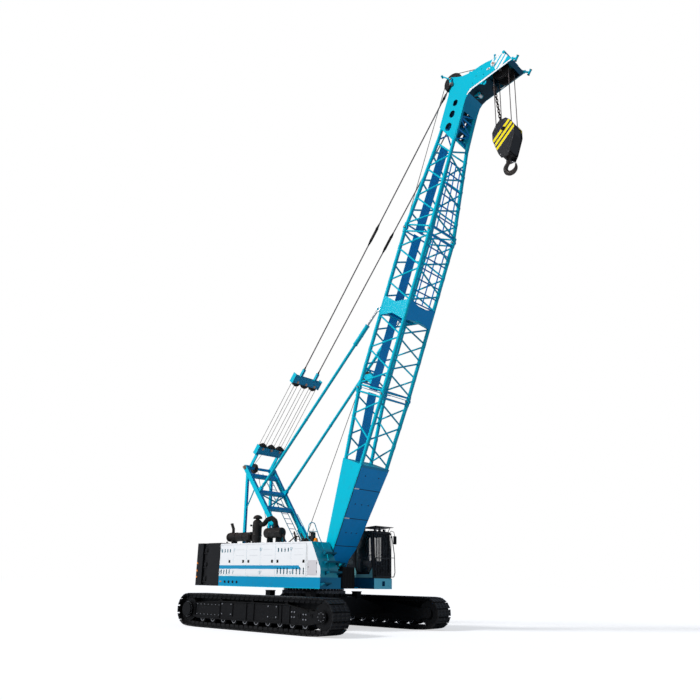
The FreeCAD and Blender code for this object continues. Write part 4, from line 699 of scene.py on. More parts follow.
def glass_finish():
    """Dark tinted glazing with a faint streak in its tone."""
    made, tree, shader = new_material("tinted_glass", "cab_dark")
    cloud = noise(tree, node(tree, "ShaderNodeTexCoord").outputs["Object"], 1.5, 3.0)
    tree.links.new(mixed(tree, cloud, (0.02, 0.03, 0.035), (0.07, 0.09, 0.10)), shader.inputs["Base Color"])
    tree.links.new((cloud * 0.12).socket, shader.inputs["Roughness"])
    shader.inputs["Alpha"].default_value = 0.28
    shader.inputs["Coat Weight"].default_value = 1.0
    shader.inputs["Coat Roughness"].default_value = 0.03


glass_finish()

NODE_FINISHES = {
    "running_gear": ("track_frame_right", "track_frame_left", "carbody", "slewing_ring_turning",
                     "bottom_rollers", "carrier_rollers", "final_drives", "idlers", "idler_axles",
                     "drive_sprockets"),
    "shoe_steel": ("track_right", "track_left"),
    "engine_grey": ("slewing_ring_fixed", "engine_block", "main_winch_drum", "luffing_winch_drum",
                    "foot_pins"),
    "deck_paint": ("right_deck", "left_deck"),
    "frame_paint": ("revolving_frame",),
    "platform_paint": ("cab_platform",),
    "spreader_paint": ("lower_spreader", "upper_spreader"),
    "shaded_teal_paint": ("boarding_steps",),
    "white_paint": ("right_housing", "left_housing", *(f"right_door_{number}" for number in range(1, 7))),
    "cyan_paint": ("boom_foot_section", "boom_middle_section", "boom_top_section", "gantry_front_frame",
                   "gantry_rear_legs", "backstop_tube_right", "backstop_tube_left"),
    "bright_steel": ("backstop_rod_right", "backstop_rod_left"),
    "head_paint": ("boom_head",),
    "ballast_black": ("counterweight",),
    "cab_black": ("cab_shell", "cab_door", "cab_guard"),
    "exhaust_black": ("muffler",),
    "roof_black": ("air_cleaner",),
    "seat_cloth": ("operator_seat",),
    "rope_wire": ("pendants", "hoist_falls"),
    "sheave_black": ("tip_sheaves", "knee_sheave", "guide_sheave", "gantry_sheave", "block_sheaves"),
    "block_paint": ("hook_block",),
    "hook_steel": ("hook",),
}
for finish_name, names in NODE_FINISHES.items():
    for name in names:
        NODES[name].data.materials.clear()
        NODES[name].data.materials.append(FINISHES[finish_name])


# -------------------- running gear
TRACK_MIDDLE = 2.9275
WHEEL_X, WHEEL_Z = 3.5125, 0.6125
LOOP_RADIUS = 0.5825
SHOE_THICK, SHOE_GAP, SHOE_HALF = 0.07, 0.026, 0.425
SHOE_COUNT = 68
GROUND_HALF = 2.9
LINK_HALF, WEB_HALF = 0.36, 0.012
RAIL_NEAR, RAIL_FAR, RAIL_DEPTH = 0.145, 0.255, 0.1
FRAME_SIDE, CHEEK = 0.3, 0.34
ARC_STEPS = 48


def outward(side):
    return Vector((0, side, 0))


def belt_line():
    """The shoes' inner line from the rear end of the ground run, with its half turns in short steps."""
    radius = LOOP_RADIUS - SHOE_THICK
    dx = WHEEL_X - GROUND_HALF
    slope = math.atan2(WHEEL_Z, dx) - math.asin(LOOP_RADIUS / math.hypot(dx, WHEEL_Z))
    corner = GROUND_HALF - SHOE_THICK * math.tan(slope / 2)
    points = [Vector((-corner, 0, SHOE_THICK)), Vector((corner, 0, SHOE_THICK))]
    for end in (1, -1):
        for i in range(ARC_STEPS + 1):
            share = i / ARC_STEPS if end > 0 else 1 - i / ARC_STEPS
            angle = slope + (math.pi - slope) * share
            x, z = end * (WHEEL_X + radius * math.sin(angle)), WHEEL_Z - radius * math.cos(angle)
            points.append(Vector((x, 0, z)))
    return points + [points[0]]


def spread(points, count):
    """Points that split a line into equal lengths."""
    lengths = [(b - a).length for a, b in zip(points[:-1], points[1:])]
    step = sum(lengths) / count
    made, travelled, index = [], 0, 0
    for i in range(count + 1):
        target = min(i * step, sum(lengths) - 1e-6)
        while travelled + lengths[index] < target:
            travelled += lengths[index]
            index += 1
        share = (target - travelled) / lengths[index]
        made.append(points[index].lerp(points[index + 1], share))
    return made


def shoe(pitch):
    """One shoe with its eight clean-out pits, its two link rails and their pin, at the origin."""
    half = (pitch - SHOE_GAP) / 2
    bpy.ops.mesh.primitive_grid_add(x_subdivisions=2, y_subdivisions=4, size=1.0,
                                    location=(0, 0, SHOE_THICK))
    plate = bpy.context.object
    plate.scale = (2 * half, 2 * SHOE_HALF, 1.0)
    pick_faces(settled(plate))
    bpy.ops.mesh.inset(thickness=0.03, depth=-0.02, use_individual=True)
    bpy.ops.mesh.select_all(action="SELECT")
    bpy.ops.mesh.region_to_loop()
    extrude((0, 0, -0.03))
    extrude((0, 0, -0.02))
    bpy.ops.transform.resize(value=(0.86, 0.98, 1.0), center_override=(0, 0, 0))
    bpy.ops.mesh.edge_face_add()
    close_up()
    pieces = [plate]
    top, low = 0.49 * pitch, 0.36 * pitch
    for side in (-1, 1):
        y = side * RAIL_NEAR
        outline = [(-top, y, 0.02), (top, y, 0.02), (low, y, -RAIL_DEPTH), (-low, y, -RAIL_DEPTH)]
        pieces.append(sheet_piece(outline, outward(side * (RAIL_FAR - RAIL_NEAR))))
    pieces.append(pin((half, 0, -0.045), (0, RAIL_FAR + 0.015, 0), 0.022, sides=8))
    return joined(pieces)


def track_shoes():
    line = belt_line()
    ends = spread(line, SHOE_COUNT)
    pitch = (ends[1] - ends[0]).length
    for side_name, side in SIDES.items():
        y = side * TRACK_MIDDLE
        places = []
        for start, end in zip(ends[:-1], ends[1:]):
            along = (end - start).normalized()
            turn = Matrix((along, (0, -1.0, 0), (along.z, 0, -along.x))).transposed().to_4x4()
            places.append(Matrix.Translation((start + end) / 2 + outward(y)) @ turn)
        shoes = copies(shoe(pitch), places)
        piece = finished(shoes, f"track_shoes_{side_name}", "shoe_steel", "undercarriage")
        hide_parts(f"track_{side_name}")
        # closed run of link plates behind the shoes' gaps
        band = sheet_piece([point + outward(y - LINK_HALF) for point in line[:-1]], outward(2 * LINK_HALF))
        pick_faces(band, lambda face: abs(face.normal.y) > 0.9)
        bpy.ops.mesh.delete(type="ONLY_FACE")
        leave_edit()
        applied(band, "SOLIDIFY", thickness=0.025, offset=0.2)
        finished(band, f"track_link_band_{side_name}", "running_gear", "undercarriage")
        outline = [(-3.5, 0.5), (-3.3, 0.3), (-2.95, 0.2), (-2.9, 0.36), (2.9, 0.36), (2.95, 0.2),
                   (3.3, 0.3), (3.5, 0.5), (3.5, 1.08), (-3.5, 1.08)]
        web = sheet_piece(on_side(outline, y - WEB_HALF), outward(2 * WEB_HALF), soften=0.004)
        finished(web, f"track_frame_web_{side_name}", "running_gear", "undercarriage")


def frame_lips(y, side):
    """Rolled lips along the upper and lower edges of an outer side plate."""
    upper = [(-3.1, 0.86), (-1.6, 0.96), (1.88, 0.96), (2.88, 0.79)]
    outline = on_side(upper, y) + [Vector((x, y, z - 0.035)) for x, z in reversed(upper)]
    return [sheet_piece(outline, outward(side * 0.05), soften=0.006),
            block((-2.95, 2.83), (y, y + side * 0.045), (0.32, 0.352), soften=0.006)]


def frame_panel(y, side):
    """Bolted inspection panel on the rear half, with a pressed middle."""
    panel = block((-3.02, -1.63), (y, y + side * 0.022), (0.44, 0.84))
    pressed(panel, (0, side, 0), 0.1, 0.06, -0.012)
    return [panel] + [block((x, x + 0.025), (y, y + side * 0.04), (0.42, 0.86)) for x in (-3.16, -3.1)]


def frame_fittings():
    for side_name, side in SIDES.items():
        middle = side * TRACK_MIDDLE
        y = middle + side * FRAME_SIDE
        cheek = middle + side * CHEEK
        out = outward(side)
        pieces = frame_lips(y, side) + frame_panel(y, side)
        # flange round the final drive, hub plate on the idler, and inspection rings
        pieces += [hoop((-WHEEL_X, cheek, WHEEL_Z), out, 0.252, 0.285, 0.03),
                   turned((WHEEL_X, cheek, WHEEL_Z), out,
                          [(0, 0.155), (0.022, 0.155), (0.034, 0.12), (0.034, 0.07), (0.05, 0.06)]),
                   hoop((3.02, y, 0.64), out, 0.04, 0.062, 0.018, sides=20),
                   hoop((2.45, y, 0.6), out, 0.05, 0.075, 0.018, sides=20)]
        pieces += [block((x, x + 0.02), (y, y + side * 0.03), (0.352, 0.925))
                   for x in (-1.68, -0.2, 0.2, 1.6, 2.0)]
        worn = []
        for x in span(-2.7, 2.7, 10):
            for face in (-side, side):
                place, way = Vector((x, middle + face * 0.23, 0.33)), outward(face)
                pieces.append(turned(place, way, [(0, 0.13), (0.018, 0.12), (0.022, 0.09)]))
                worn += [hoop(place + way * 0.018, way, 0.088, 0.112, 0.012, sides=20),
                         turned(place + way * 0.02, way, [(0, 0.035), (0.014, 0.035), (0.022, 0.022)],
                                sides=12)]
        finished(worn, f"roller_rims_{side_name}", "polished_pins", "undercarriage")
        finished(pieces, f"frame_fittings_{side_name}", "running_gear", "undercarriage")
        # X and Z of each bolt, how far it stands out, and its radius
        rows = ((span(-2.96, -1.69, 7), (0.465, 0.815), 0.022, 0.017),
                ((-1.5, -1.0), (0.86, 0.52), 0.025, 0.026), ((0.97, 1.38), (0.86, 0.52), 0.025, 0.026),
                ((2.12, 2.24), (0.72, 0.56), 0, 0.028), ((2.66, 2.78), (0.66, 0.5), 0, 0.028))
        heads = [bolts([(x, y + side * proud, z) for x in xs for z in zs], out, radius)
                 for xs, zs, proud, radius in rows]
        # centre, how far it stands out, radius of the ring, number and radius of the bolts
        for x, proud, ring, count, radius in ((WHEEL_X, 0.022, 0.138, 8, 0.014),
                                              (-WHEEL_X, 0.03, 0.268, 24, 0.011)):
            centre = (x, middle + side * (CHEEK + proud), WHEEL_Z)
            heads.append(bolts(ring_places(centre, out, ring, count), out, radius))
        finished(heads, f"frame_bolts_{side_name}", "bright_steel", "undercarriage")


def ring_fittings():
    """Gussets and bolts round the pedestal and the slewing ring, and caps on the corner posts."""
    low, high = Vector((0, 0, 1.15)), Vector((0, 0, 1.262))
    gussets = []
    for place in ring_places((0, 0, 0), UP, 1.22, 24, turn=0.5):
        way = place.normalized()
        thick = Vector((-way.y, way.x, 0)) * 0.02
        outline = [place + low, place + way * 0.1 + low, place + high]
        gussets.append(sheet_piece([point - thick / 2 for point in outline], thick))
    gussets += [slab((x - 0.15, y - 0.15, 1.33), (x + 0.15, y + 0.15, 1.352), soften=0.006)
                for x in (-1.08, 1.08) for y in (-1.29, 1.29)]
    finished(gussets, "ring_gussets", "running_gear", "undercarriage")
    base = bolts(ring_places((0, 0, 1.272), UP, 1.214, 60), UP, 0.014)
    finished(base, "ring_base_bolts", "bright_steel", "undercarriage")
    heads = [bolts([place], (place.x, place.y, 0), 0.019)
             for place in ring_places((0, 0, 1.405), UP, 1.158, 48)]
    finished(heads, "ring_bolts", "bright_steel")


# -------------------- upper works
DECK_LOW, DECK_HIGH = 1.449, 1.84
HOUSE_REAR, HOUSE_FRONT = -3.806, 1.87
HOUSE_SIDE = 1.65
HOUSE_TOP, HOUSE_TOP_FRONT, HOUSE_KNEE = 3.1, 1.389, 2.16
# X of each latch, and the side door it is on
LATCHES = ((-3.201, 1), (-2.36, 2), (-2.048, 3), (-0.686, 4), (-0.383, 5), (1.006, 6))


def deck_trim():
    """Lip under the decks, drain eyes, and the reflectors along the sides and behind."""
    deck = (HOUSE_REAR, HOUSE_FRONT - 0.002)
    foot = (DECK_LOW, DECK_LOW + 0.022)
    lip = [block(deck, (-1.662, -HOUSE_SIDE), foot, soften=0.003),
           block(deck, (-1.658, -HOUSE_SIDE), (DECK_HIGH - 0.02, DECK_HIGH), soften=0.003),
           block((HOUSE_REAR, 0.06), (HOUSE_SIDE, 1.662), foot, soften=0.003)]
    finished(lip, "deck_lip", "cyan_paint")
    places = [(x, -HOUSE_SIDE, 1.62) for x in span(-3.414, -2.682, 4)]
    eyes = [hoop(place, RIGHT, 0.032, 0.05, 0.012, sides=16) for place in places]
    finished(eyes, "drain_eyes", "rubber")
    plugs = [turned(place, RIGHT, [(-0.004, 0.033), (0.003, 0.033), (0.006, 0.02)], sides=16)
             for place in places]
    finished(plugs, "drain_plugs", "cab_black")
    lamp = [block((-3.72, -3.645), (-1.664, -HOUSE_SIDE), (1.6, 1.648))]
    lamp += [block((-5.325, -5.317), (y, y + 0.12), (z, z + 0.06), soften=0.002)
             for y in (-1.6, 1.48) for z in (1.7, 2.2)]
    lamp += [block((-5.31, -5.24), (-1.656, -HOUSE_SIDE), (z, z + 0.07), soften=0.002)
             for z in (1.75, 2.0, 2.3)]
    finished(lamp, "side_reflectors", "amber_lens")


def door_furniture():
    """A flush latch on every side door, and two pressed lines across the wide ones."""
    for x, number in LATCHES:
        door = f"right_door_{number}"
        plate = block((x - 0.055, x + 0.055), (-1.658, -1.645), (2.345, 2.455), soften=0.006)
        pressed(plate, RIGHT, 0.004, 0.014, -0.006)
        grip = block((x - 0.03, x + 0.03), (-1.664, -1.652), (2.38, 2.402))
        finished([plate, grip], f"door_latch_{number}", "rubber", door)
        low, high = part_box(door)
        if number not in (1, 5):
            line = [block((low[0] + 0.16, high[0] - 0.16), (-1.6535, -1.648), (z, z + 0.012), soften=0.002)
                    for z in (2.62, 2.84)]
            finished(line, f"door_swage_{number}", "pale_paint", door)


def service_door():
    """Grey door on the nose's side, with its hinges and knob, and the nose's seams."""
    door = block((1.222, 1.692), (-1.657, -1.645), (1.908, 2.433), soften=0.008)
    pressed(door, RIGHT, 0.05, 0.03, -0.004)
    finished(door, "service_door", "grey_paint")
    trim = [turned((1.27, -1.655, 2.2), RIGHT, [(0, 0.016), (0.012, 0.014), (0.018, 0.008)], sides=12)]
    trim += [bar((1.685, -1.656, z), (1.685, -1.656, z + 0.07), 0.009, sides=8) for z in (2.0, 2.3)]
    finished(trim, "service_door_trim", "rubber")
    seams = [block(xs, (-1.6525, -1.648), (1.86, top), soften=0.001)
             for xs, top in (((1.2, 1.206), 2.95), ((1.14, 1.148), 3.06))]
    finished(seams, "nose_seams", "rubber")


def nose_x(z):
    """Where the housing's sloping nose stands at a height."""
    share = max(0, z - HOUSE_KNEE) / (HOUSE_TOP - HOUSE_KNEE)
    return HOUSE_FRONT + (HOUSE_TOP_FRONT - HOUSE_FRONT) * share


def step_trim():
    """Treads of the boarding steps: a rolled grip plate on each, with its punched holes."""
    treads = []
    for z, y0, y1 in ((2.72, -1.3, -0.72), (2.4, -1.4, -0.72), (2.04, -1.4, -0.72), (1.65, -1.63, -1.29)):
        x0 = nose_x(z) + 0.012
        x1 = x0 + 0.215
        treads += [slab((x0, y0, z), (x1, y1, z + 0.008), soften=0.002),
                   slab((x1, y0, z - 0.04), (x1 + 0.008, y1, z + 0.02), soften=0.003)]
        treads += [hoop((x0 + x, y, z + 0.008), UP, 0.012, 0.019, 0.006, sides=8)
                   for x in (0.05, 0.11, 0.17) for y in span(y0 + 0.06, y1 - 0.06, 6)]
    # the treads are painted dark teal as painted shade
    finished(treads, "step_treads", "shaded_teal_paint")


def handrail():
    """Boarding handrail: a hoop over the roof's edge that runs down to the third tread."""
    route = [(1.3, -1.78, 3.38), (1.3, -1.72, 3.7), (1.3, -1.6, 3.79), (1.33, -1.46, 3.76),
             (1.45, -1.32, 3.27), (1.6, -1.19, 2.86), (1.63, -1.17, 2.72)]
    foot = [(1.3, -1.78, 3.4), (1.3, -1.755, 3.2), (1.28, -1.62, 3.14), (1.26, -1.6, 3.1)]
    rail = [pipe(route, 0.017, bend=0.07), pipe(foot, 0.017, bend=0.04),
            bar((1.3, -1.765, 3.46), (1.4, -1.385, 3.46), 0.012, sides=8)]
    finished(rail, "boarding_handrail", "cyan_paint")
    low = [pipe(route, 0.014, bend=0.05) for route in (
        [(1.85, -1.2, 2.04), (1.93, -1.24, 2.3), (1.8, -1.24, 2.66), (1.68, -1.2, 2.7)],
        [(1.55, -1.3, 2.76), (1.5, -1.45, 3.0), (1.38, -1.47, 3.12)])]
    finished(low, "step_grips", "cyan_paint")


def roof_fittings():
    """Beacon, junction boxes, lamps, roof seams and lifting eyes of the right housing."""
    profile = [(0, 0.085), (0.05, 0.085), (0.06, 0.075), (0.11, 0.07), (0.14, 0.045), (0.15, 0.01)]
    finished(turned((1.25, -1.28, HOUSE_TOP), UP, profile), "beacon", "amber_lens")
    boxes = [slab((1.02, -1.36, 3.1), (1.16, -1.2, 3.42), soften=0.01),
             slab((0.78, -1.3, 3.1), (0.92, -1.12, 3.32), soften=0.01),
             slab((0.5, -1.3, 3.1), (0.72, -1.05, 3.24), soften=0.01),
             slab((1.04, -1.42, 3.42), (1.12, -1.18, 3.46), soften=0.006)]
    for piece in boxes[:2]:
        pressed(piece, RIGHT, 0.01, 0.02, -0.008)
    boxes += [bar((0.84, -1.21, 3.3), (0.84, -1.21, 3.5), 0.012, sides=8),
              bar((1.09, -1.28, 3.4), (1.09, -1.28, 3.58), 0.01, sides=8)]
    finished(boxes, "roof_boxes", "roof_black")
    struts = [bar((0.05, -1.1, 3.1), (-0.28, -0.92, 3.52), 0.035, sides=10),
              bar((0.42, -0.98, 3.1), (0.1, -0.92, 3.45), 0.028, sides=10),
              bar((-0.32, -1.15, 3.12), (0.02, -1.1, 3.36), 0.025, sides=10),
              pipe([(0.34, -1.2, 3.1), (0.3, -1.2, 3.3), (0.05, -1.1, 3.34), (-0.1, -0.98, 3.2)], 0.022,
                   bend=0.06)]
    finished(struts, "roof_struts", "roof_black")
    hatches = (-2.984, -2.174, -1.358, -0.521, 0.328)
    seams = [slab((x - 0.02, y0, HOUSE_TOP), (x + 0.02, y1, 3.112), soften=0.003)
             for xs, y0, y1 in ((hatches, -1.62, -0.93), (hatches[:4], 0.93, 1.62)) for x in xs]
    finished(seams, "roof_seams", "white_plain")
    eyes = []
    for x, y in ((-3.6, -1.5), (0.9, -1.5), (-3.6, 1.5), (-0.15, 1.5), (-3.6, -1.0), (-0.15, 1.0)):
        eyes += [hoop((x, y - 0.01, 3.145), LEFT, 0.025, 0.05, 0.02, sides=16),
                 slab((x - 0.05, y - 0.03, HOUSE_TOP), (x + 0.05, y + 0.03, 3.11), soften=0.003)]
    finished(eyes, "roof_eyes", "running_gear")


ROOF_Y = -1.09


def intake():
    """Upright cleaner with its domed rain cap, a fat ribbed hose, and the lying canister."""
    x = -2.26
    profile = [(0, 0.19), (0.03, 0.205), (0.06, 0.19), (0.28, 0.19), (0.3, 0.2), (0.34, 0.2), (0.36, 0.19),
               (0.62, 0.19), (0.64, 0.2), (0.68, 0.2), (0.7, 0.19), (0.86, 0.185), (0.92, 0.14), (0.95, 0.09)]
    pot = [turned((x, ROOF_Y, HOUSE_TOP), UP, profile)]
    pot += [slab((x - 0.2, ROOF_Y - 0.225, z), (x - 0.12, ROOF_Y - 0.15, z + 0.07), soften=0.01)
            for z in (3.44, 3.78)]
    finished(pot, "cleaner_pot", "roof_black")
    profile = [(0, 0.075), (0.06, 0.075), (0.055, 0.175), (0.075, 0.19), (0.11, 0.18), (0.16, 0.145),
               (0.195, 0.09), (0.21, 0.03)]
    cap = turned((x, ROOF_Y, 4.03), UP, profile, sides=32)
    finished(cap, "rain_cap", "exhaust_black")
    route = [(-2.16, 3.84), (-1.86, 3.86), (-1.66, 4.03), (-1.4, 4.08), (-1.2, 3.96), (-1.15, 3.78),
             (-1.15, 3.6)]
    hose = [pipe(on_side(route, ROOF_Y), 0.098, bend=0.1, sides=20),
            hoop((-2.1, ROOF_Y, 3.845), (1, 0, 0.02), 0.09, 0.112, 0.03),
            hoop((-1.15, ROOF_Y, 3.7), UP, 0.09, 0.115, 0.03)]
    finished(hose, "intake_hose", "rubber")
    profile = [(0, 0.13), (0.03, 0.19), (0.06, 0.2), (0.28, 0.2), (0.3, 0.212), (0.33, 0.212), (0.35, 0.2),
               (0.62, 0.2), (0.64, 0.212), (0.67, 0.212), (0.69, 0.2), (0.9, 0.2), (0.94, 0.185),
               (0.97, 0.13),
               (0.985, 0.06)]
    drum = [turned((-1.7, ROOF_Y, 3.5), AHEAD, profile, sides=32)]
    drum += [slab((at, ROOF_Y - 0.15, HOUSE_TOP), (at + 0.06, ROOF_Y + 0.15, 3.36), soften=0.008)
             for at in (-1.5, -1.0)]
    outlet = [(-0.78, ROOF_Y, 3.45), (-0.66, ROOF_Y - 0.02, 3.4), (-0.62, ROOF_Y - 0.02, 3.1)]
    drum.append(pipe(outlet, 0.045, bend=0.05, sides=12))
    piece = finished(drum, "intake_canister", "roof_black")
    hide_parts("air_cleaner")


def silencer_trim():
    """Straps, end seams and the tilting flap of the silencer."""
    trim = [hoop((x, ROOF_Y, 3.39), AHEAD, 0.17, 0.188, 0.035) for x in (-3.9, -3.5, -3.02, -2.62)]
    trim += [turned((x, ROOF_Y, 3.39), (way, 0, 0), [(0, 0.165), (0.02, 0.15), (0.035, 0.1)])
             for x, way in ((-2.56, 1), (-3.97, -1))]
    trim += [hoop((-3.74, ROOF_Y, 3.56), UP, 0.058, 0.085, 0.02),
             pipe(on_side([(-2.55, 3.36), (-2.44, 3.34), (-2.4, 3.12)], ROOF_Y), 0.06, bend=0.05, sides=12),
             turned((-3.862, ROOF_Y, 3.935), (-0.35, 0, 1.0), [(0, 0.07), (0.006, 0.07)], sides=20)]
    finished(trim, "silencer_trim", "exhaust_black")


def ballast_trim():
    """Lifting eyes in the grooves, slab keys and the rear lamps of the counterweight."""
    x0, x1 = -4.95, -4.6
    eyes = []
    for side in (-1, 1):
        for z in (1.73, 2.295, 2.86):
            eyes += [hoop(((x0 + x1) / 2, side * 1.575, z), outward(side), 0.045, 0.085, 0.05, sides=20),
                     block((x0 + 0.02, x1 - 0.02), (side * 1.565, side * 1.6), (z - 0.16, z - 0.1),
                           soften=0.008)]
    eyes += [block((-5.2, -5.05), (side * 1.6485, side * 1.653), (z - 0.05, z + 0.05))
             for z in (2.0127, 2.5763) for side in (-1, 1)]
    finished(eyes, "ballast_eyes", "ballast_black")
    top = [slab((-5.2, y - 0.2, 3.14), (-4.9, y + 0.2, 3.158), soften=0.006) for y in (-1.1, 0, 1.1)]
    top += [bar((x, y, 3.14), (x, y, 3.172), 0.04, soften=0.004) for x in (-4.2, -5.0) for y in (-0.7, 0.7)]
    finished(top, "ballast_top", "ballast_black")
    lamps = [turned((-5.325, y, 1.95), (-1, 0, 0), [(-0.02, 0.06), (0, 0.06), (0.004, 0.05)], sides=20)
             for y in (-1.3, 1.3)]
    finished(lamps, "tail_lamps", "red_lens")


for make in (track_shoes, frame_fittings, ring_fittings, deck_trim, door_furniture, service_door, step_trim,
             handrail, roof_fittings, intake, silencer_trim, ballast_trim):
    make()


# -------------------- boom
FOOT_SEAMS = (1.1, 2.2, 3.37)


def face_strip(s0, s1, y0, y1, proud):
    """A strip on the boom's front face."""
    points = [on_boom(s, y, boom_face(s, 2)) for s, y in ((s0, y0), (s1, y0), (s1, y1), (s0, y1))]
    return sheet_piece(points, -BEHIND * proud)


def foot_details():
    """Seams, corner beads, bolts and grab plates of the plated foot."""
    seams, grabs, places, rim = [], [], [], []
    for s in FOOT_SEAMS:
        half = boom_face(s, 1)
        seams.append(face_strip(s - 0.011, s + 0.011, -half + 0.01, half - 0.01, 0.006))
    for s in FOOT_SEAMS[1:]:
        half = boom_face(s, 1)
        grabs.append(face_strip(s - 0.02, s + 0.025, -half + 0.03, -half + 0.3, 0.012))
    for low, high in ((0.42, 1.0), (1.0, 4.28)):
        corner = [(s, -boom_face(s, 1) + inset)
                  for s, inset in ((low, 0.002), (high, 0.002), (high, 0.036), (low, 0.042))]
        seams.append(sheet_piece([on_boom(s, y, boom_face(s, 2)) for s, y in corner], -BEHIND * 0.004))
    finished(seams, "foot_seams", "rubber", "boom")
    finished(grabs, "foot_grab_plates", "white_plain", "boom")
    for s, ys in ((0.42, (-0.24, 0, 0.24)), (1.64, (-0.3, 0, 0.3)), (2.78, (-0.38, 0, 0.38)),
                  (3.9, (-0.4, 0.4))):
        places += [on_boom(s, y, boom_face(s, 2)) for y in ys]
    finished(bolts(places, -BEHIND, 0.022), "foot_front_bolts", "cab_black", "boom")
    outline = [(s, boom_face(s, column) + inset)
               for s, column, inset in ((1.05, 2, 0.03), (4.24, 2, 0.03), (4.24, 3, -0.03), (1.05, 3, -0.03))]
    for side in (-1, 1):
        rim += [sheet_piece([on_boom(s, side * boom_face(s, 1), t) for s, t in outline],
                            outward(side * 0.007)),
                boom_bar((0, side * 0.545, 0), (0, side * 0.57, 0), 0.105, sides=24, soften=0.006)]
    finished(rim, "foot_side_plates", "cyan_paint", "boom")
    rear = boom_face(4.2, 3)
    lip = [face_strip(4.21, 4.29, -0.82, 0.82, 0.014), face_strip(0.4, 0.44, -0.4, 0.4, 0.01),
           boom_plate([(4.22, rear), (4.3, rear), (4.3, rear + 0.014), (4.22, rear + 0.014)], -0.82, 0.82)]
    finished(lip, "foot_lips", "deck_paint", "boom")


def chord_spots(stations):
    """The middle of each of the four chords at every station, with its side."""
    for s in stations:
        for side in (-1, 1):
            for t in (boom_face(s, 2) + CHORD, boom_face(s, 3) - CHORD):
                yield on_boom(s, side * (boom_face(s, 1) - CHORD), t), side


def joint_lugs():
    """Clevis lugs and pins where the boom's sections are joined."""
    lugs, pins = [], []
    for at, side in chord_spots((7.05, 13.6)):
        lugs += [bar(at - ALONG * 0.2, at - ALONG * 0.03, 0.088, sides=16, soften=0.012),
                 bar(at + ALONG * 0.03, at + ALONG * 0.2, 0.088, sides=16, soften=0.012),
                 pin(at, (0, 0.062, 0), 0.1, sides=20, soften=0.01)]
        keeper = side * 0.1
        pins += [pin(at, (0, 0.125, 0), 0.036, sides=14, soften=0.006),
                 bar(at + Vector((0, keeper, -0.035)), at + Vector((0, keeper, 0.06)), 0.009, sides=6)]
    finished(lugs, "boom_joint_lugs", "cyan_paint", "boom")
    finished(pins, "boom_joint_pins", "polished_pins", "boom")


def front_ladder():
    """Rungs and stringers up the front of the upper sections, and weld collars on the chords."""
    rungs = []
    for low, high in ((10.75, 13.42), (13.78, 16.5)):
        for s in span(low, high, 7):
            rungs.append(cross_bar(s, boom_face(s, 1) - CHORD, boom_face(s, 2) + CHORD, 0.028, sides=8))
        for share in (-0.5, 0.04, 0.62):
            ends = [(s, share * (boom_face(s, 1) - CHORD), boom_face(s, 2) + CHORD + 0.03)
                    for s in (low, high)]
            rungs.append(boom_bar(*ends, 0.026, sides=8))
    # the rungs get the deeper blue as painted shade
    finished(rungs, "boom_front_ladder", "shaded_deep_paint", "boom")
    stations = (5.2, 6.0, 6.8, 7.95, 8.65, 9.35, 11.4, 12.1, 12.78, 14.3, 14.95, 15.6, 16.2, 16.8)
    collar = [(0, 0.0755), (0.03, 0.0785), (0.15, 0.0785), (0.18, 0.0755)]
    rings = [turned(at - ALONG * 0.09, ALONG, collar, sides=12) for at, side in chord_spots(stations)]
    finished(rings, "chord_weld_collars", "cyan_paint", "boom")


# -------------------- boom head
HEAD_OUT, HEAD_IN = 0.51, 0.49
HEAD_SIDE_LINE = (
    (17.93, 0.67), (19.3, 0.70), (19.6, 0.75), (19.8, 0.80), (19.98, 0.85), (20.07, 0.85), (20.1, 0.8),
    (20.085, 0.5), (20.09, 0.3), (20.19, -0.04), (20.31, -0.25), (20.47, -0.51), (20.57, -0.74),
                  (20.64, -0.97),
    (20.87, -1.44), (20.54, -1.90), (19.82, -0.895), (19.62, -0.6), (19.5, -0.43), (19.36, -0.3),
    (19.18, -0.225), (18.9, -0.21), (18.19, -0.235), (17.28, -0.285))
HOLES = ((17.94, 0.125), (18.48, 0.108), (18.955, 0.09))
HOLE_BEHIND, HOLE_STRETCH = 0.235, 0.035


def between(side, near, far):
    """Lowest and highest of two distances out to one side."""
    return sorted((side * near, side * far))


def stadium(s, radius, y0, y1):
    """A plug with round ends and straight sides, drawn out across the boom."""
    middle = on_boom(s, y0, HOLE_BEHIND)
    bpy.ops.mesh.primitive_circle_add(vertices=24, radius=radius, fill_type="NGON", location=middle,
                                      rotation=(math.pi / 2, 0, 0))
    piece = settled(bpy.context.object)
    for vertex in piece.data.vertices:
        lean = (vertex.co - middle).dot(ALONG)
        vertex.co += ALONG * (HOLE_STRETCH if lean > 0.001 else -HOLE_STRETCH)
    pick_faces(piece)
    extrude((0, y1 - y0, 0))
    close_up()
    return piece


def head_sides():
    """The two cranked side plates with their three lined holes."""
    plates, linings = [], []
    for side in (-1, 1):
        y0, y1 = between(side, HEAD_IN, HEAD_OUT)
        start, end = between(side, HEAD_OUT + 0.004, HEAD_OUT - 0.15)
        plate = boom_plate(HEAD_SIDE_LINE, y0, y1)
        for s, radius in HOLES:
            cut_by(plate, stadium(s, radius, y0 - 0.05, y1 + 0.05))
            linings.append(cut_by(stadium(s, radius + 0.012, start, end),
                                  stadium(s, radius - 0.004, start - 0.05, end + 0.05)))
        plates.append(plate)
    piece = finished(plates, "head_side_plates", "head_paint", "boom", smooth=False)
    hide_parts("boom_head")
    finished(linings, "head_hole_linings", "shade_blue", "boom")


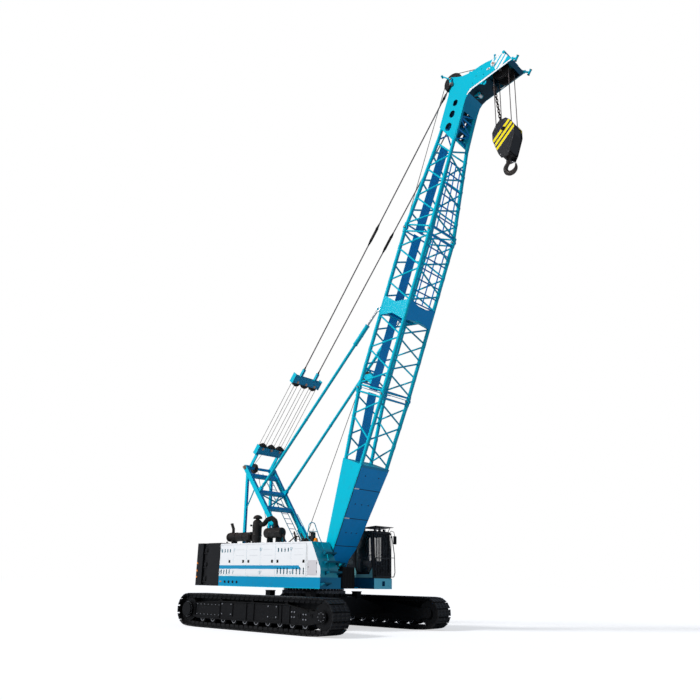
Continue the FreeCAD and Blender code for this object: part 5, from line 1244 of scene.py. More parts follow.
def head_tubes():
    """Chords and bracing of the head's open lower part."""
    tubes, braces = [], []
    for side in (-1, 1):
        for t0, end in ((0.59, (18.3, side * 0.415, 0.6)), (-0.205, (18.95, side * 0.41, -0.14))):
            tubes.append(boom_bar((17.37, side * 0.465, t0), end, 0.073, sides=16, soften=0.01))
    finished(tubes, "head_chords", "cyan_paint", "boom")
    for s in (17.92, 18.38):
        braces.append(cross_bar(s, 0.44, -0.17, 0.034, sides=10))
    front, rear = (0.43, -0.18, -0.16), (0.42, 0.59, 0.6)
    for s0, s1, way, (half, t0, t1) in ((17.45, 17.9, 1, front), (17.94, 18.36, -1, front),
                                        (18.4, 18.72, 1, front),
                                        (17.45, 18.2, 1, rear), (17.5, 18.15, -1, rear)):
        braces.append(boom_bar((s0, -way * 0.44, t0), (s1, way * half, t1), 0.03, sides=8))
    for side in (-1, 1):
        braces += [boom_bar((17.45, side * 0.45, -0.2), (18.05, side * 0.44, 0.59), 0.03, sides=8),
                   boom_bar((18.1, side * 0.43, 0.59), (18.6, side * 0.42, -0.15), 0.03, sides=8)]
    braces.append(cross_bar(18.25, 0.43, 0.6, 0.034, sides=10))
    # the bracing gets the deeper blue as painted shade
    finished(braces, "head_bracing", "shaded_deep_paint", "boom")


def cover(points, thick, y0=-HEAD_IN, y1=HEAD_IN):
    """A folded cover sheet between the side plates, thick to the left of its line."""
    normals = []
    for a, b in zip(points[:-1], points[1:]):
        run = Vector((b[0] - a[0], b[1] - a[1])).normalized()
        normals.append(Vector((-run.y, run.x)))
    inner = []
    for point, before, after in zip(points, normals[:1] + normals, normals + normals[-1:]):
        mitre = (before + after) * (thick / (1 + before.dot(after)))
        inner.append((point[0] + mitre.x, point[1] + mitre.y))
    return boom_plate(list(points) + inner[::-1], y0, y1)


def head_covers():
    """Sheets over the crank's front, the nose's end and its back, which leaves a slot for the hoist rope."""
    upright = cover([(18.65, -0.212), (18.9, -0.205), (19.18, -0.22), (19.34, -0.295)], 0.02)
    finished(upright, "head_front_cover", "deck_paint", "boom")
    lean = [cover([(19.34, -0.295), (19.5, -0.43), (19.62, -0.6), (19.82, -0.895), (19.9, -1.005)], 0.02),
            boom_plate([(19.88, -0.98), (19.9, -1.005), (20.0, -0.93), (19.98, -0.905)], -HEAD_IN, HEAD_IN)]
    finished(lean, "head_crank_cover", "shade_blue", "boom")
    # the end cap is painted dark navy as painted shade
    end_cap = cover([(20.43, -1.745), (20.54, -1.89), (20.862, -1.438)], 0.02)
    finished(end_cap, "head_end_cover", "shaded_navy_paint", "boom")
    slope = [(20.185, -0.02), (20.305, -0.25), (20.465, -0.51), (20.565, -0.74), (20.635, -0.97),
             (20.72, -1.147)]
    nose = [cover([(20.862, -1.438), (20.77, -1.25), (20.72, -1.147)], 0.016),
            cover(slope, -0.016, y1=-0.29), cover(slope, -0.016, y0=-0.1),
            cover([(18.05, 0.672), (19.3, 0.7), (19.62, 0.765), (19.8, 0.83)], -0.016)]
    finished(nose, "head_back_covers", "cyan_paint", "boom")
    line = [(19.92, -0.9), (20.06, 0.2), (20.17, -0.03), (20.45, -0.52), (20.62, -0.97), (20.85, -1.43),
            (20.54, -1.87)]
    inside = [boom_plate(line, *between(side, 0.486, 0.4905)) for side in (-1, 1)]
    inside += [boom_plate(outline, -0.486, 0.486) for outline in (
        [(20.0, -0.1), (20.03, -0.1), (20.03, 0.3), (20.0, 0.3)],
        [(19.98, -0.905), (20.0, -0.93), (20.2, -0.1), (20.18, -0.075)])]
    finished(inside, "head_inner_faces", "shade_blue", "boom", smooth=False)


def link_plate(start, end, y, thick, width):
    """A link with round ends between two pins on the head, given along and behind the boom."""
    a, b = Vector(start), Vector(end)
    run = (b - a).normalized()
    across_run = Vector((-run.y, run.x)) * width
    points = []
    for centre, way in ((b, 1), (a, -1)):
        for i in range(7):
            turn = math.pi * i / 6
            point = centre + (across_run * math.cos(turn) * way + run * width * math.sin(turn) * way)
            points.append((point.x, point.y))
    return boom_plate(points, y, y + thick)


def head_fittings():
    """Pin keepers, horns, guide rollers, eyes and stay links on the head."""
    pale, dark, blue, bright, amber = [], [], [], [], []
    for side in (-1, 1):
        out = outward(side)
        tip = on_boom(20.45, side * HEAD_OUT, -1.08)
        pale.append(turned(tip, out, [(0, 0.105), (0.012, 0.105), (0.018, 0.095), (0.03, 0.09),
                                      (0.036, 0.08)]))
        amber.append(turned(tip + out * 0.03, out, [(0, 0.05), (0.018, 0.048), (0.026, 0.035)], sides=20))
        dark.append(bolts(ring_places(tip + out * 0.018, out, 0.088, 6), out, 0.009))
        pale.append(boom_plate([(20.2, -0.86), (20.27, -0.85), (20.32, -0.98), (20.25, -1.0)],
                               *between(side, HEAD_OUT, HEAD_OUT + 0.02), soften=0.004))
        amber.append(boom_plate([(20.235, -0.9), (20.265, -0.895), (20.285, -0.95), (20.25, -0.955)],
                                *between(side, 0.53, 0.538)))
        # stay link from the head's pin to the knee's keeper, with three pin heads
        blue.append(link_plate((19.78, 0.70), (20.0, 0.79), 0.572 if side > 0 else -0.59, 0.018, 0.048))
        bright += [turned(on_boom(s, side * 0.59, t), out, [(0, 0.04), (0.02, 0.04), (0.028, 0.03)], sides=16)
                   for s, t in ((19.78, 0.69), (20.0, 0.79))]
        boss = [(0, 0.07), (0.07, 0.07), (0.09, 0.055)]
        blue.append(turned(on_boom(20.0, side * 0.5, 0.79), out, boss, sides=16))
        # horn arm at the knee, and the T-ended horns ahead of the nose
        root, end = on_boom(20.58, side * 0.47, -1.8), on_boom(20.54, side * 0.51, -2.1)
        half_bar, capped = ALONG * 0.1 - BEHIND * 0.02, ALONG * 0.115 - BEHIND * 0.023
        blue += [boom_bar((20.0, side * 0.5, 0.8), (20.17, side * 0.53, 1.27), 0.03, sides=10, soften=0.006),
                 boom_bar((20.14, side * 0.47, 1.28), (20.19, side * 0.59, 1.3), 0.045, soften=0.008),
                 bar(root, end, 0.038, sides=10),
                 pin(root.lerp(end, 0.3), ALONG * 0.07, 0.03, sides=10, soften=0.006),
                 boom_plate([(20.5, -1.83), (20.66, -1.74), (20.6, -1.9), (20.54, -1.95)],
                            *between(side, 0.44, 0.49), soften=0.005),
                 pin(end, half_bar, 0.046, soften=0.008)]
        dark += [bar(end + half_bar, end + capped, 0.056, soften=0.004),
                 bar(end - capped, end - half_bar, 0.056, soften=0.004),
                 bolts([on_boom(s, side * HEAD_OUT, t)
                        for s, t in ((20.02, -0.42), (20.05, -0.75), (19.72, -0.35), (20.3, -0.6))], out,
                       0.014)]
    # eye bracket under the near front edge, and the guide roller on the crank's cover
    roller = on_boom(19.42, -0.06, -0.52)
    blue += [cross_bar(20.885, 0.545, -1.42, 0.062, sides=20, soften=0.015),
             boom_bar((20.64, -0.5, -1.06), (20.8, -0.5, -1.03), 0.022, sides=10),
             hoop(on_boom(20.82, -0.51, -1.03), LEFT, 0.022, 0.045, 0.03, sides=16),
             hoop(on_boom(19.7, -0.5, -0.9), LEFT, 0.035, 0.085, 0.03, sides=20),
             boom_plate([(19.66, -0.68), (19.8, -0.87), (19.76, -0.93), (19.64, -0.86)], -0.5, -0.475)]
    pale.append(pin(roller, (0, 0.09, 0), 0.062, sides=20, soften=0.012))
    blue += [boom_plate([(19.36, -0.3), (19.54, -0.52), (19.46, -0.6), (19.36, -0.56)], y - 0.06, y - 0.04,
                        soften=0.004) for y in (-0.115, 0.095)]
    amber.append(turned(roller - outward(0.118), RIGHT, [(0, 0.03), (0.012, 0.028), (0.016, 0.018)],
                        sides=14))
    blue.append(link_plate((20.2, -0.1), (20.26, 0), -0.44, 0.03, 0.05))
    pale.append(turned(on_boom(20.17, -0.12, 1.09), RIGHT, [(0, 0.07), (0.02, 0.07), (0.03, 0.055)],
                       sides=16))
    finished(pale, "head_pin_keepers", "white_plain", "boom")
    finished(dark, "head_links_and_bolts", "running_gear", "boom")
    finished(blue, "head_horns_and_eyes", "cyan_paint", "boom")
    finished(bright, "head_pin_heads", "amber_metal", "boom")
    finished(amber, "head_keeper_caps", "amber_metal", "boom")


def head_pins():
    """Pins of the tip and knee sheaves, the knee's arms, and the stays' pin."""
    # place along the boom, half length, place behind it, radius, broken edge
    pins = [cross_bar(s, half, t, radius, sides=24, soften=soften)
            for s, half, t, radius, soften in ((20.3, 0.5, -1.3, 0.06, 0.008),
                                               (20.17, 0.105, 1.09, 0.05, 0.006),
                                               (19.78, 0.595, 0.69, 0.04, 0.005))]
    finished(pins, "head_pins", "polished_pins", "boom")
    outline = [(19.6, 0.7), (20.04, 0.56), (20.25, 1.03), (20.25, 1.12), (20.21, 1.17), (20.11, 1.16)]
    arms = [boom_plate(outline, y, y + 0.03, soften=0.005) for y in (-0.09, 0.06)]
    finished(arms, "knee_sheave_arms", "cyan_paint", "boom")


# -------------------- ropes
ROPE = 0.014
LUFFING_ROPE = 0.0115
KNEE_ROPE_TURN, TIP_ROPE_TURN, GUIDE_ROPE_TURN = 0.392, 0.322, 0.192
NEAR_SHEAVE_Y = -0.225
WINCH_Z = 1.98
DRUM_RADIUS, DRUM_HALF = 0.244, 0.455
LOWER_BOX, UPPER_BOX = 1.02, 4.35


def round_sheave(s, t, y, radius, start, end, steps):
    """Points round a sheave on the boom; angles are measured from along the boom towards behind it."""
    points = []
    for i in range(steps + 1):
        angle = math.radians(start + (end - start) * i / steps)
        points.append(on_boom(s + radius * math.cos(angle), y, t + radius * math.sin(angle)))
    return points


def hoist_rope():
    """Hoist rope from its winch over the guide and knee sheaves to the tip."""
    guide = on_boom(7.55, 0, 1.15 + GUIDE_ROPE_TURN)
    up = [guide] + round_sheave(20.17, 1.09, 0, KNEE_ROPE_TURN, 88.0, 2.0, 14)
    up.append(on_boom(20.61, -0.2, -1.02))
    up += round_sheave(20.3, -1.3, NEAR_SHEAVE_Y, TIP_ROPE_TURN, 2.0, -20.0, 3)
    finished(pipe(up, ROPE), "hoist_rope_on_boom", "rope_wire", "boom")
    start = Vector((-1.0, 0, WINCH_Z)) + Vector((-0.24, 0.12, 0.12))
    low = pipe([start, *(start.lerp(guide, share) for share in (0.25, 0.5, 0.75)), guide], ROPE)
    pick_faces(low)
    bpy.ops.mesh.subdivide(number_cuts=3)
    leave_edit()
    piece = finished(low, "hoist_rope_to_winch", "rope_wire", None)
    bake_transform(piece)


def wound_ropes():
    """One layer of rope wound along each winch drum."""
    pitch, steps = 2.1 * ROPE, 14
    turns = int(2 * DRUM_HALF / pitch)
    for x, name, body in ((-1.0, "hoist_drum_rope", "main_winch"),
                          (-2.3, "luffing_drum_rope", "luffing_winch")):
        points = []
        for i in range(turns * steps + 1):
            angle = 2 * math.pi * i / steps
            points.append(Vector((x + DRUM_RADIUS * math.cos(angle), -DRUM_HALF + pitch * i / steps,
                                  WINCH_Z + DRUM_RADIUS * math.sin(angle))))
        finished(pipe(points, ROPE, sides=4), name, "rope_wire", body)


def luffing_ropes():
    """Two half sets of falls, one fixed to each sheave box, so that they pass as the boom luffs."""
    low, high = [], []
    for place, y in enumerate((-0.7, -0.56, -0.31, -0.13, 0.14, 0.31, 0.55, 0.7)):
        out = 0.04 if place % 2 else -0.04
        low.append(bar(along_stay(LOWER_BOX, y, out), along_stay(3.2, y, out), 0.0105, sides=6))
        high.append(bar(along_stay(2.17, y, out), along_stay(UPPER_BOX, y, out), LUFFING_ROPE, sides=6))
    finished(low, "luffing_falls_lower", "rope_wire", "lower_spreader")
    finished(high, "luffing_falls_upper", "rope_wire", "stays")
    x, y, z = APEX.x, -0.33, APEX.z
    lead = [bar((-2.3 + 0.2, -0.2, WINCH_Z + 0.2), (x + 0.19, y, z), LUFFING_ROPE, sides=8),
            pipe([(x + 0.19, y, z), (x + 0.13, y, z + 0.14), (x, y, z + 0.19),
                  along_stay(LOWER_BOX, -0.3, 0.03)], LUFFING_ROPE)]
    finished(lead, "luffing_lead_rope", "rope_wire")


def spreader_rims():
    """Flange rims, caps and bolts on the flat-lying sheaves of the two boxes."""
    for name, body, centre, low, high, half in (("lower", "lower_spreader", LOWER_BOX, 0.74, 1.08, 0.76),
                                                ("upper", "stays", UPPER_BOX, 4.29, 4.62, 0.80)):
        rims, caps, heads = [], [], []
        for y in (-0.5, 0, 0.5):
            rims += [hoop(along_stay(centre, y, out), STAY_OUT, 0.175, 0.222, 0.012, sides=28)
                     for out in (-0.06, -0.006, 0.048)]
            caps += [turned(along_stay(centre, y, way * 0.092), STAY_OUT * way,
                            [(0, 0.062), (0.012, 0.06), (0.02, 0.045)], sides=18) for way in (-1, 1)]
        finished(rims, f"{name}_box_rims", "sheave_black", body)
        for way in (-1, 1):
            spots = [along_stay(d, y, way * 0.092)
                     for d in (low + 0.05, high - 0.05) for y in span(-half + 0.08, half - 0.08, 8)]
            heads.append(bolts(spots, STAY_OUT * way, 0.014))
        finished(caps, f"{name}_box_caps", "amber_metal", body)
        finished(heads, f"{name}_box_bolts", "running_gear", body)


def pendant_fittings():
    """Sockets and links half way up the two pendants, and the sockets at their ends."""
    parts = []
    wide = Vector((0, 0.045, 0))
    socket = [(0, 0.03), (0.05, 0.034), (0.2, 0.055), (0.24, 0.055), (0.26, 0.035)]
    for side in (-1, 1):
        for centre, way in ((10.86, 1), (11.84, -1), (17.25, 1), (5.05, -1)):
            y = side * (0.42 + 0.12 * (centre - 4.95) / 13.13)
            parts.append(turned(along_stay(centre, y), STAY_WAY * way, socket, sides=14))
        y = side * 0.475
        for lift in (-0.035, 0.025):
            a, b = along_stay(11.05, y, lift), along_stay(11.65, y, lift)
            parts.append(sheet_piece([a - wide, a + wide, b + wide, b - wide], STAY_OUT * 0.012,
                                     soften=0.004))
        parts += [bar(along_stay(d, y, -0.05), along_stay(d, y, 0.05), 0.026, soften=0.004)
                  for d in (11.12, 11.35, 11.58)]
        parts += [bar(along_stay(17.8, side * 0.54), along_stay(18.05, side * 0.54), 0.045, soften=0.008),
                  bar(along_stay(17.78, side * 0.5), along_stay(17.78, side * 0.6), 0.036, sides=14,
                      soften=0.006)]
    finished(parts, "pendant_sockets", "running_gear", "stays")


# -------------------- gantry
GANTRY_AHEAD = Vector((4.08, 0, 3.06)).normalized()
LADDER_SHIFT = Vector((-0.1, 0, -0.04))
RAIL_STAND = GANTRY_AHEAD * 0.16


def gantry_at(share, y):
    """A point down the line of the gantry's front legs, at a distance across."""
    point = APEX.lerp(GANTRY_FOOT, share)
    return Vector((point.x, y, point.z))


def gantry_leg(share, side, inward=0):
    """The middle of a front leg, or a point inward of it."""
    return gantry_at(share, side * (0.81 - 0.11 * share - inward))


def gantry_details():
    """Braces to the rear legs, the ladder and its side rail between the front legs, and the bosses."""
    tubes, ladder, caps, plates = [], [], [], []
    for side in (-1, 1):
        upper, lower = (gantry_leg(share, side, 0.12) - GANTRY_AHEAD * 0.02 for share in (0.03, 0.42))
        tubes += [bar((-3.486, side * 0.695, 4.55), gantry_leg(0.215, side), 0.028, sides=10),
                  bar(upper, lower, 0.02, sides=8)]
    for right, left in ((0.29, 0.43), (0.43, 0.29)):
        tubes.append(bar(gantry_leg(right, -1, 0.1), gantry_leg(left, 1, 0.1), 0.03, sides=8))
    finished(tubes, "gantry_braces", "cyan_paint")
    for y in (0.18, 0.55):
        ladder.append(bar(gantry_at(0.03, y) + LADDER_SHIFT, gantry_at(0.9, y) + LADDER_SHIFT, 0.016,
                          sides=8))
    for share in span(0.05, 0.88, 17):
        near, far = (gantry_at(share, y) + LADDER_SHIFT for y in (0.18, 0.55))
        ladder.append(bar(near, far, 0.013, sides=6))
    for y in (0.78, -0.78):
        ladder.append(bar(gantry_at(0.5, y) + RAIL_STAND, gantry_at(0.86, y) + RAIL_STAND, 0.015, sides=8))
        ladder += [bar(gantry_at(share, y), gantry_at(share, y) + RAIL_STAND, 0.013, sides=6)
                   for share in (0.5, 0.62, 0.74, 0.86)]
    finished(ladder, "gantry_ladder", "cyan_paint")
    top_cap = [(0, 0.09), (0.02, 0.085), (0.05, 0.05), (0.09, 0.045), (0.1, 0.03)]
    foot_cap = [(0, 0.08), (0.02, 0.075), (0.03, 0.05)]
    for side in (-1, 1):
        caps += [turned(gantry_at(share, side * y), outward(side), profile)
                 for share, y, profile in ((0, 0.875, top_cap), (1.0, 0.85, foot_cap))]
    finished(caps, "gantry_pin_caps", "amber_metal")
    for side in (-1, 1):
        plates += [turned(gantry_leg(share, side) + GANTRY_AHEAD * 0.1, GANTRY_AHEAD,
                          [(0, 0.075), (0.01, 0.07)],
                          sides=8) for share in (0.09, 0.27, 0.44)]
    finished(plates, "gantry_doublers", "cyan_paint")


# -------------------- block, chain and hook

def block_details():
    """Pin nuts, edge bolts, guards and the crosshead's keeper of the hook block."""
    dark, steel = [], []
    edge = [(0.13, 16.75), (0.24, 16.95), (0.46, 17.6), (0.46, 17.95), (0.3, 18.21), (0.13, 18.37)]
    bolt_spots = ((0.16, 16.9), (0.36, 17.4), (0.41, 17.75), (0.3, 18.1), (0.12, 18.28))
    for side in (-1, 1):
        out = outward(side)
        centre = Vector((TIP.x, side * 0.3, 17.95))
        dark += [turned(centre, out, [(0, 0.085), (0.015, 0.08), (0.02, 0.065), (0.04, 0.06),
                                      (0.045, 0.045)]),
                 turned(centre + out * 0.05, out, [(0, 0.045), (0.02, 0.045), (0.026, 0.035)], sides=6)]
        spots = [(TIP.x + way * x, side * 0.3, z) for way in (-1, 1) for x, z in bolt_spots]
        steel.append(bolts(spots, out, 0.018))
        rim = [(TIP.x + x, z) for x, z in edge] + [(TIP.x - x, z) for x, z in reversed(edge)]
        dark.append(pipe(on_side(rim, side * 0.2985), 0.008, sides=4, closed=True))
    dark += [pin((TIP.x + way * x, 0, z), (0, 0.28, 0), 0.018, sides=10)
             for way in (-1, 1) for x, z in ((0.30, 18.17), (0.13, 18.33), (0.42, 17.93))]
    dark.append(turned((TIP.x, 0, 16.9), DOWN, [(0, 0.15), (0.02, 0.15), (0.035, 0.12)]))
    finished(dark, "block_guards", "sheave_black", "hook_block")
    finished(steel, "block_bolts", "bright_steel", "hook_block")


def hook_forging():
    """A forged hook with a swelling bow, its nut, and the latch that closes its mouth."""
    x, z, turn, ahead = TIP.x, 16.385, 0.222, 0.07
    route, radii = [(x, 0, 17.1), (x, 0, 16.8), (x, 0, 16.66)], [0.84, 0.84, 0.84]
    for angle, thick in ((128, 0.86), (145, 0.92), (170, 1.0), (205, 1.06), (240, 1.08), (270, 1.06),
                         (300, 1.0), (325, 0.86), (348, 0.66), (372, 0.46), (385, 0.3)):
        way = math.radians(angle)
        route.append((x + ahead + turn * math.cos(way), 0, z + turn * math.sin(way)))
        radii.append(thick)
    pieces = [pipe(route, 0.088, sides=16, radii=radii),
              turned((x, 0, 17.051), UP, [(0, 0.112), (0.04, 0.112), (0.085, 0.095)], sides=6),
              turned((x, 0, 16.62), UP, [(0, 0.085), (0.03, 0.098), (0.09, 0.098), (0.11, 0.076)])]
    piece = finished(pieces, "hook_forging", "hook_steel", "hook")
    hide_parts("hook")
    upper, lower = x + 0.055, x + ahead + 0.235
    tongue = [(upper, -0.03, 16.66), (upper, 0.03, 16.66), (lower, 0.025, 16.475), (lower, -0.025, 16.475)]
    latch = [sheet_piece(tongue, (0.012, 0, 0.013), soften=0.003),
             pin((x + 0.06, 0, 16.65), (0, 0.05, 0), 0.016)]
    finished(latch, "hook_latch", "bright_steel", "hook")


def rope_falls():
    """Four falls of rope between the head and the block."""
    falls_node = NODES["hoist_falls"]
    ends = [falls_node.matrix_world @ Vector(corner) for corner in falls_node.bound_box]
    low, high = (Vector([way(end[axis] for end in ends) for axis in range(3)]) for way in (min, max))
    radius = 0.017
    falls = [bar((x, y, low.z), (x, y, high.z), radius)
             for x in (low.x + radius, high.x - radius) for y in (low.y + radius, high.y - radius)]
    piece = finished(falls, "hoist_rope_falls", "rope_wire", None)
    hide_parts("hoist_falls")
    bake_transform(piece)


def overhaul_chain():
    """Short chain that hangs from the head beside the falls, with its shackle."""
    top, low = Vector((8.96, 0, 19.94)), Vector((9.11, 0, 18.6))
    way, count = (low - top).normalized(), 11
    bpy.ops.mesh.primitive_torus_add(major_radius=0.042, minor_radius=0.019, major_segments=16,
                                     minor_segments=6)
    link = settled(bpy.context.object)
    for vertex in link.data.vertices:
        vertex.co.x += 0.034 if vertex.co.x > 0 else -0.034
    along = Matrix((way, outward(1), way.cross(outward(1)))).transposed().to_4x4()
    places = [Matrix.Translation(top.lerp(low, (i + 0.5) / count)) @ along
              @ Matrix.Rotation(math.pi / 2 * (i % 2), 4, "X") for i in range(count)]
    bow = [top + way * reach + outward(y)
           for reach, y in ((-0.1, -0.045), (0.03, -0.03), (0.03, 0.03), (-0.1, 0.045))]
    parts = [copies(link, places), pin(top - way * 0.12, (0, 0.05, 0), 0.03, soften=0.004),
             pipe(bow, 0.018, bend=0.015),
             turned(top - way * 0.1, -way, [(0, 0.075), (0.05, 0.1), (0.13, 0.09), (0.18, 0.05)], sides=14)]
    finished(parts, "overhaul_chain", "chain_steel", "hoist_falls")


def backstop_trim():
    """End rings on the back stops' spring sleeves."""
    start = APEX.lerp(GANTRY_FOOT, 0.265) + GANTRY_AHEAD * 0.215
    way = (Vector((3.76, 0, 11.93)) - start).normalized()
    for name, side in SIDES.items():
        root = Vector((start.x, side * 0.74, start.z))
        rings = [hoop(root + way * d, way, inner, outer, 0.03, sides=20)
                 for ds, inner, outer in (((0.2, 3.6), 0.062, 0.075), ((7.36, 7.8, 8.268), 0.088, 0.099))
                 for d in ds]
        finished(rings, f"backstop_rings_{name}", "cyan_paint", f"backstop_tube_{name}")


for make in (foot_details, joint_lugs, front_ladder, head_sides, head_tubes, head_covers, head_fittings,
             head_pins, hoist_rope, wound_ropes, luffing_ropes, spreader_rims, pendant_fittings,
             gantry_details, block_details, hook_forging, rope_falls, overhaul_chain, backstop_trim):
    make()


# -------------------- cab
CAB_NEAR, CAB_FAR = 1.025, 2.121
CAB_REAR, CAB_FRONT = 0.33, 2.15
CAB_KNEE = 2.7
GUARD_X = 2.252
SEAT_PLACE = Vector((0.95, 1.573, 1.9))
SIDE_PANE = ((1.23, 2.254), (1.336, 2.02), (1.918, 2.02), (2.06, 2.198), (1.99, 3.48), (1.23, 3.48))
REAR_PANE = ((0.48, 2.35), (1.13, 2.35), (1.13, 3.48), (0.48, 3.48))
DOOR_PANE = ((0.96, 2.5), (1.64, 2.5), (1.64, 3.43), (0.96, 3.43))
FRONT_PANE = ((1.115, 2.05), (2.031, 2.05), (2.031, 2.7), (2.031, 3.48), (1.115, 3.48), (1.115, 2.7))


def cab_front(z):
    """Where the front of the cab stands at a height: it leans back above and below its knee."""
    if z < CAB_KNEE:
        return CAB_FRONT - 0.02 * (z - 1.84) / 0.86
    return CAB_FRONT - 0.02 - 0.05 * (z - CAB_KNEE) / 0.9


def seal(points, radius):
    """A closed round bead along points."""
    return pipe(points, radius, closed=True)


def cab_glazing():
    """Tinted panes with their rubber seals."""
    sides = (SIDE_PANE, REAR_PANE)
    panes = [sheet_piece(on_side(outline, CAB_NEAR + 0.02), (0, 0.008, 0)) for outline in sides]
    front = [Vector((cab_front(z) - 0.025, y, z)) for y, z in FRONT_PANE]
    panes.append(sheet_piece(front, (-0.008, 0, 0)))
    finished(panes, "cab_panes", "tinted_glass", smooth=False)
    pane = sheet_piece(on_side(DOOR_PANE, 2.144), (0, 0.008, 0))
    finished(pane, "door_pane", "tinted_glass", "cab_door", smooth=False)
    seals = [seal(on_side(outline, CAB_NEAR - 0.001), 0.013) for outline in sides]
    seals.append(seal([(cab_front(p.z) + 0.001, p.y, p.z) for p in front], 0.014))
    finished(seals, "cab_pane_seals", "rubber")
    finished(seal(on_side(DOOR_PANE, 2.172), 0.012), "door_pane_seal", "rubber", "cab_door")


def cab_side_trim():
    """Teal lower panel, pillar beads, grab rails and the gutter of the cab."""
    outline = [(1.2, 1.86), (2.1, 1.86), (2.085, 2.24), (2.0, 2.12), (1.935, 1.985), (1.31, 1.985),
               (1.2, 2.24)]
    panel = sheet_piece(on_side(outline, CAB_NEAR - 0.001), (0, -0.008, 0), soften=0.003)
    finished(panel, "cab_side_panel", "cab_teal")
    dark = [block((0.36, 1.18), (CAB_NEAR - 0.01, CAB_NEAR), (1.88, 2.28), soften=0.006)]
    pressed(dark[0], RIGHT, 0.1, 0.05, -0.006)
    dark += [block((x - 0.02, x + 0.02), (CAB_NEAR - 0.012, CAB_NEAR), (1.86, 3.58), soften=0.005)
             for x in (1.18, 0.4)]
    dark += [pipe(on_side([(2.13, 1.9), (2.11, 2.7), (2.06, 3.55)], y), 0.018)
             for y in (CAB_NEAR - 0.004, CAB_FAR)]
    rear, near, far = CAB_REAR + 0.03, CAB_NEAR + 0.03, CAB_FAR - 0.03
    dark.append(seal([(rear, near, 3.6), (2.05, near, 3.6), (2.05, far, 3.6), (rear, far, 3.6)], 0.022))
    near, far = CAB_NEAR - 0.01, CAB_FAR
    finished(dark, "cab_trim", "cab_black")
    routes = ([(1.16, near, 2.5), (1.16, near - 0.08, 2.5), (1.16, near - 0.08, 3.2), (1.16, near, 3.2)],
              [(1.95, far, 2.3), (1.98, far + 0.09, 2.3), (1.96, far + 0.09, 3.2), (1.93, far, 3.2)])
    rails = [pipe(route, 0.013, bend=0.03) for route in routes]
    finished(rails, "cab_grab_rails", "cab_black")
    handle = [block((0.99, 1.15), (2.171, 2.19), (2.36, 2.42), soften=0.008),
              block((1.0, 1.1), (2.19, 2.205), (2.375, 2.4), soften=0.005)]
    lower = block((0.93, 1.67), (2.171, 2.178), (1.96, 2.3), soften=0.003)
    pressed(lower, LEFT, 0.1, 0.05, -0.003)
    finished(handle, "door_handle", "rubber", "cab_door")
    finished(lower, "door_lower_panel", "cab_teal", "cab_door")


def cab_front_fittings():
    """Wipers, round tube frame of the guard, visor stays, work lamps and the mirror on its bracket."""
    dark, lamps, lenses = [], [], []
    for y, z0, z1 in ((1.45, 2.14, 2.86), (1.72, 2.14, 2.7)):
        pane = cab_front(2.8)
        dark += [bar((cab_front(z0) + 0.02, y, z0), (cab_front(z1) + 0.012, y + 0.16, z1), 0.008, sides=6),
                 slab((pane + 0.004, y + 0.14, z1 - 0.34), (pane + 0.016, y + 0.154, z1 + 0.22),
                      soften=0.003),
                 turned((cab_front(z0), y, z0), AHEAD, [(0, 0.03), (0.025, 0.028), (0.035, 0.018)], sides=12)]
    dark.append(seal([(GUARD_X, 1.06, 1.915), (GUARD_X, 1.975, 1.915), (GUARD_X, 1.975, 3.545),
                      (GUARD_X, 1.06, 3.545)], 0.02))
    # raised far rail of the guard, with its feet and top fork
    far_rail = [(2.25, 1.99, 1.9), (2.28, 2.12, 1.9), (2.3, 2.17, 2.06), (2.28, 2.16, 2.75), (2.21, 2.1, 3.4),
                (2.12, 2.04, 3.6)]
    dark += [pipe(far_rail, 0.017, bend=0.05),
             pipe([(2.235, 1.99, 2.62), (2.28, 2.16, 2.62)], 0.012, sides=6)]
    dark += [bar((2.09, y, 3.6), (2.19, y, 3.75), 0.014, sides=8) for y in (1.12, 1.98)]
    finished(dark, "cab_front_tubes", "cab_black")
    for y in (1.22, 1.5, 1.78):
        lamps += [slab((2.02, y - 0.06, 3.615), (2.1, y + 0.06, 3.7), soften=0.012),
                  bar((2.05, y, 3.59), (2.05, y, 3.63), 0.012, sides=8)]
        lenses.append(turned((2.099, y, 3.657), AHEAD, [(0, 0.037), (0.006, 0.036), (0.01, 0.028)], sides=18))
    finished(lamps, "cab_work_lamps", "rubber")
    finished(lenses, "cab_lamp_lenses", "bright_steel")
    arm = [pipe([(2.08, 2.06, 3.5), (2.16, 2.1, 3.66), (2.26, 2.15, 3.62), (2.29, 2.16, 3.5),
                 (2.3, 2.17, 3.42)],
                0.012, bend=0.03),
           pipe([(2.1, 2.08, 3.38), (2.18, 2.12, 3.42), (2.28, 2.16, 3.46)], 0.009, bend=0.02)]
    finished(arm, "mirror_bracket", "cab_black")
    head = slab((2.275, 2.08, 3.14), (2.325, 2.27, 3.46), soften=0.022)
    finished(head, "mirror_head", "rubber")
    face = slab((2.27, 2.1, 3.16), (2.276, 2.25, 3.44), soften=0.002)
    finished(face, "mirror_glass", "bright_steel")


def visor_trim():
    """Rim and stiffeners of the sun visor."""
    y0, y1 = 1.005, CAB_FAR
    rim = [seal([(1.5, y0, 3.728), (2.265, y0, 3.788), (2.265, y1, 3.788), (1.5, y1, 3.728)], 0.011)]
    rim += [bar((1.52, y, 3.716), (2.24, y, 3.772), 0.009, sides=6) for y in span(1.2, 1.92, 3)]
    finished(rim, "visor_rim", "cab_black")


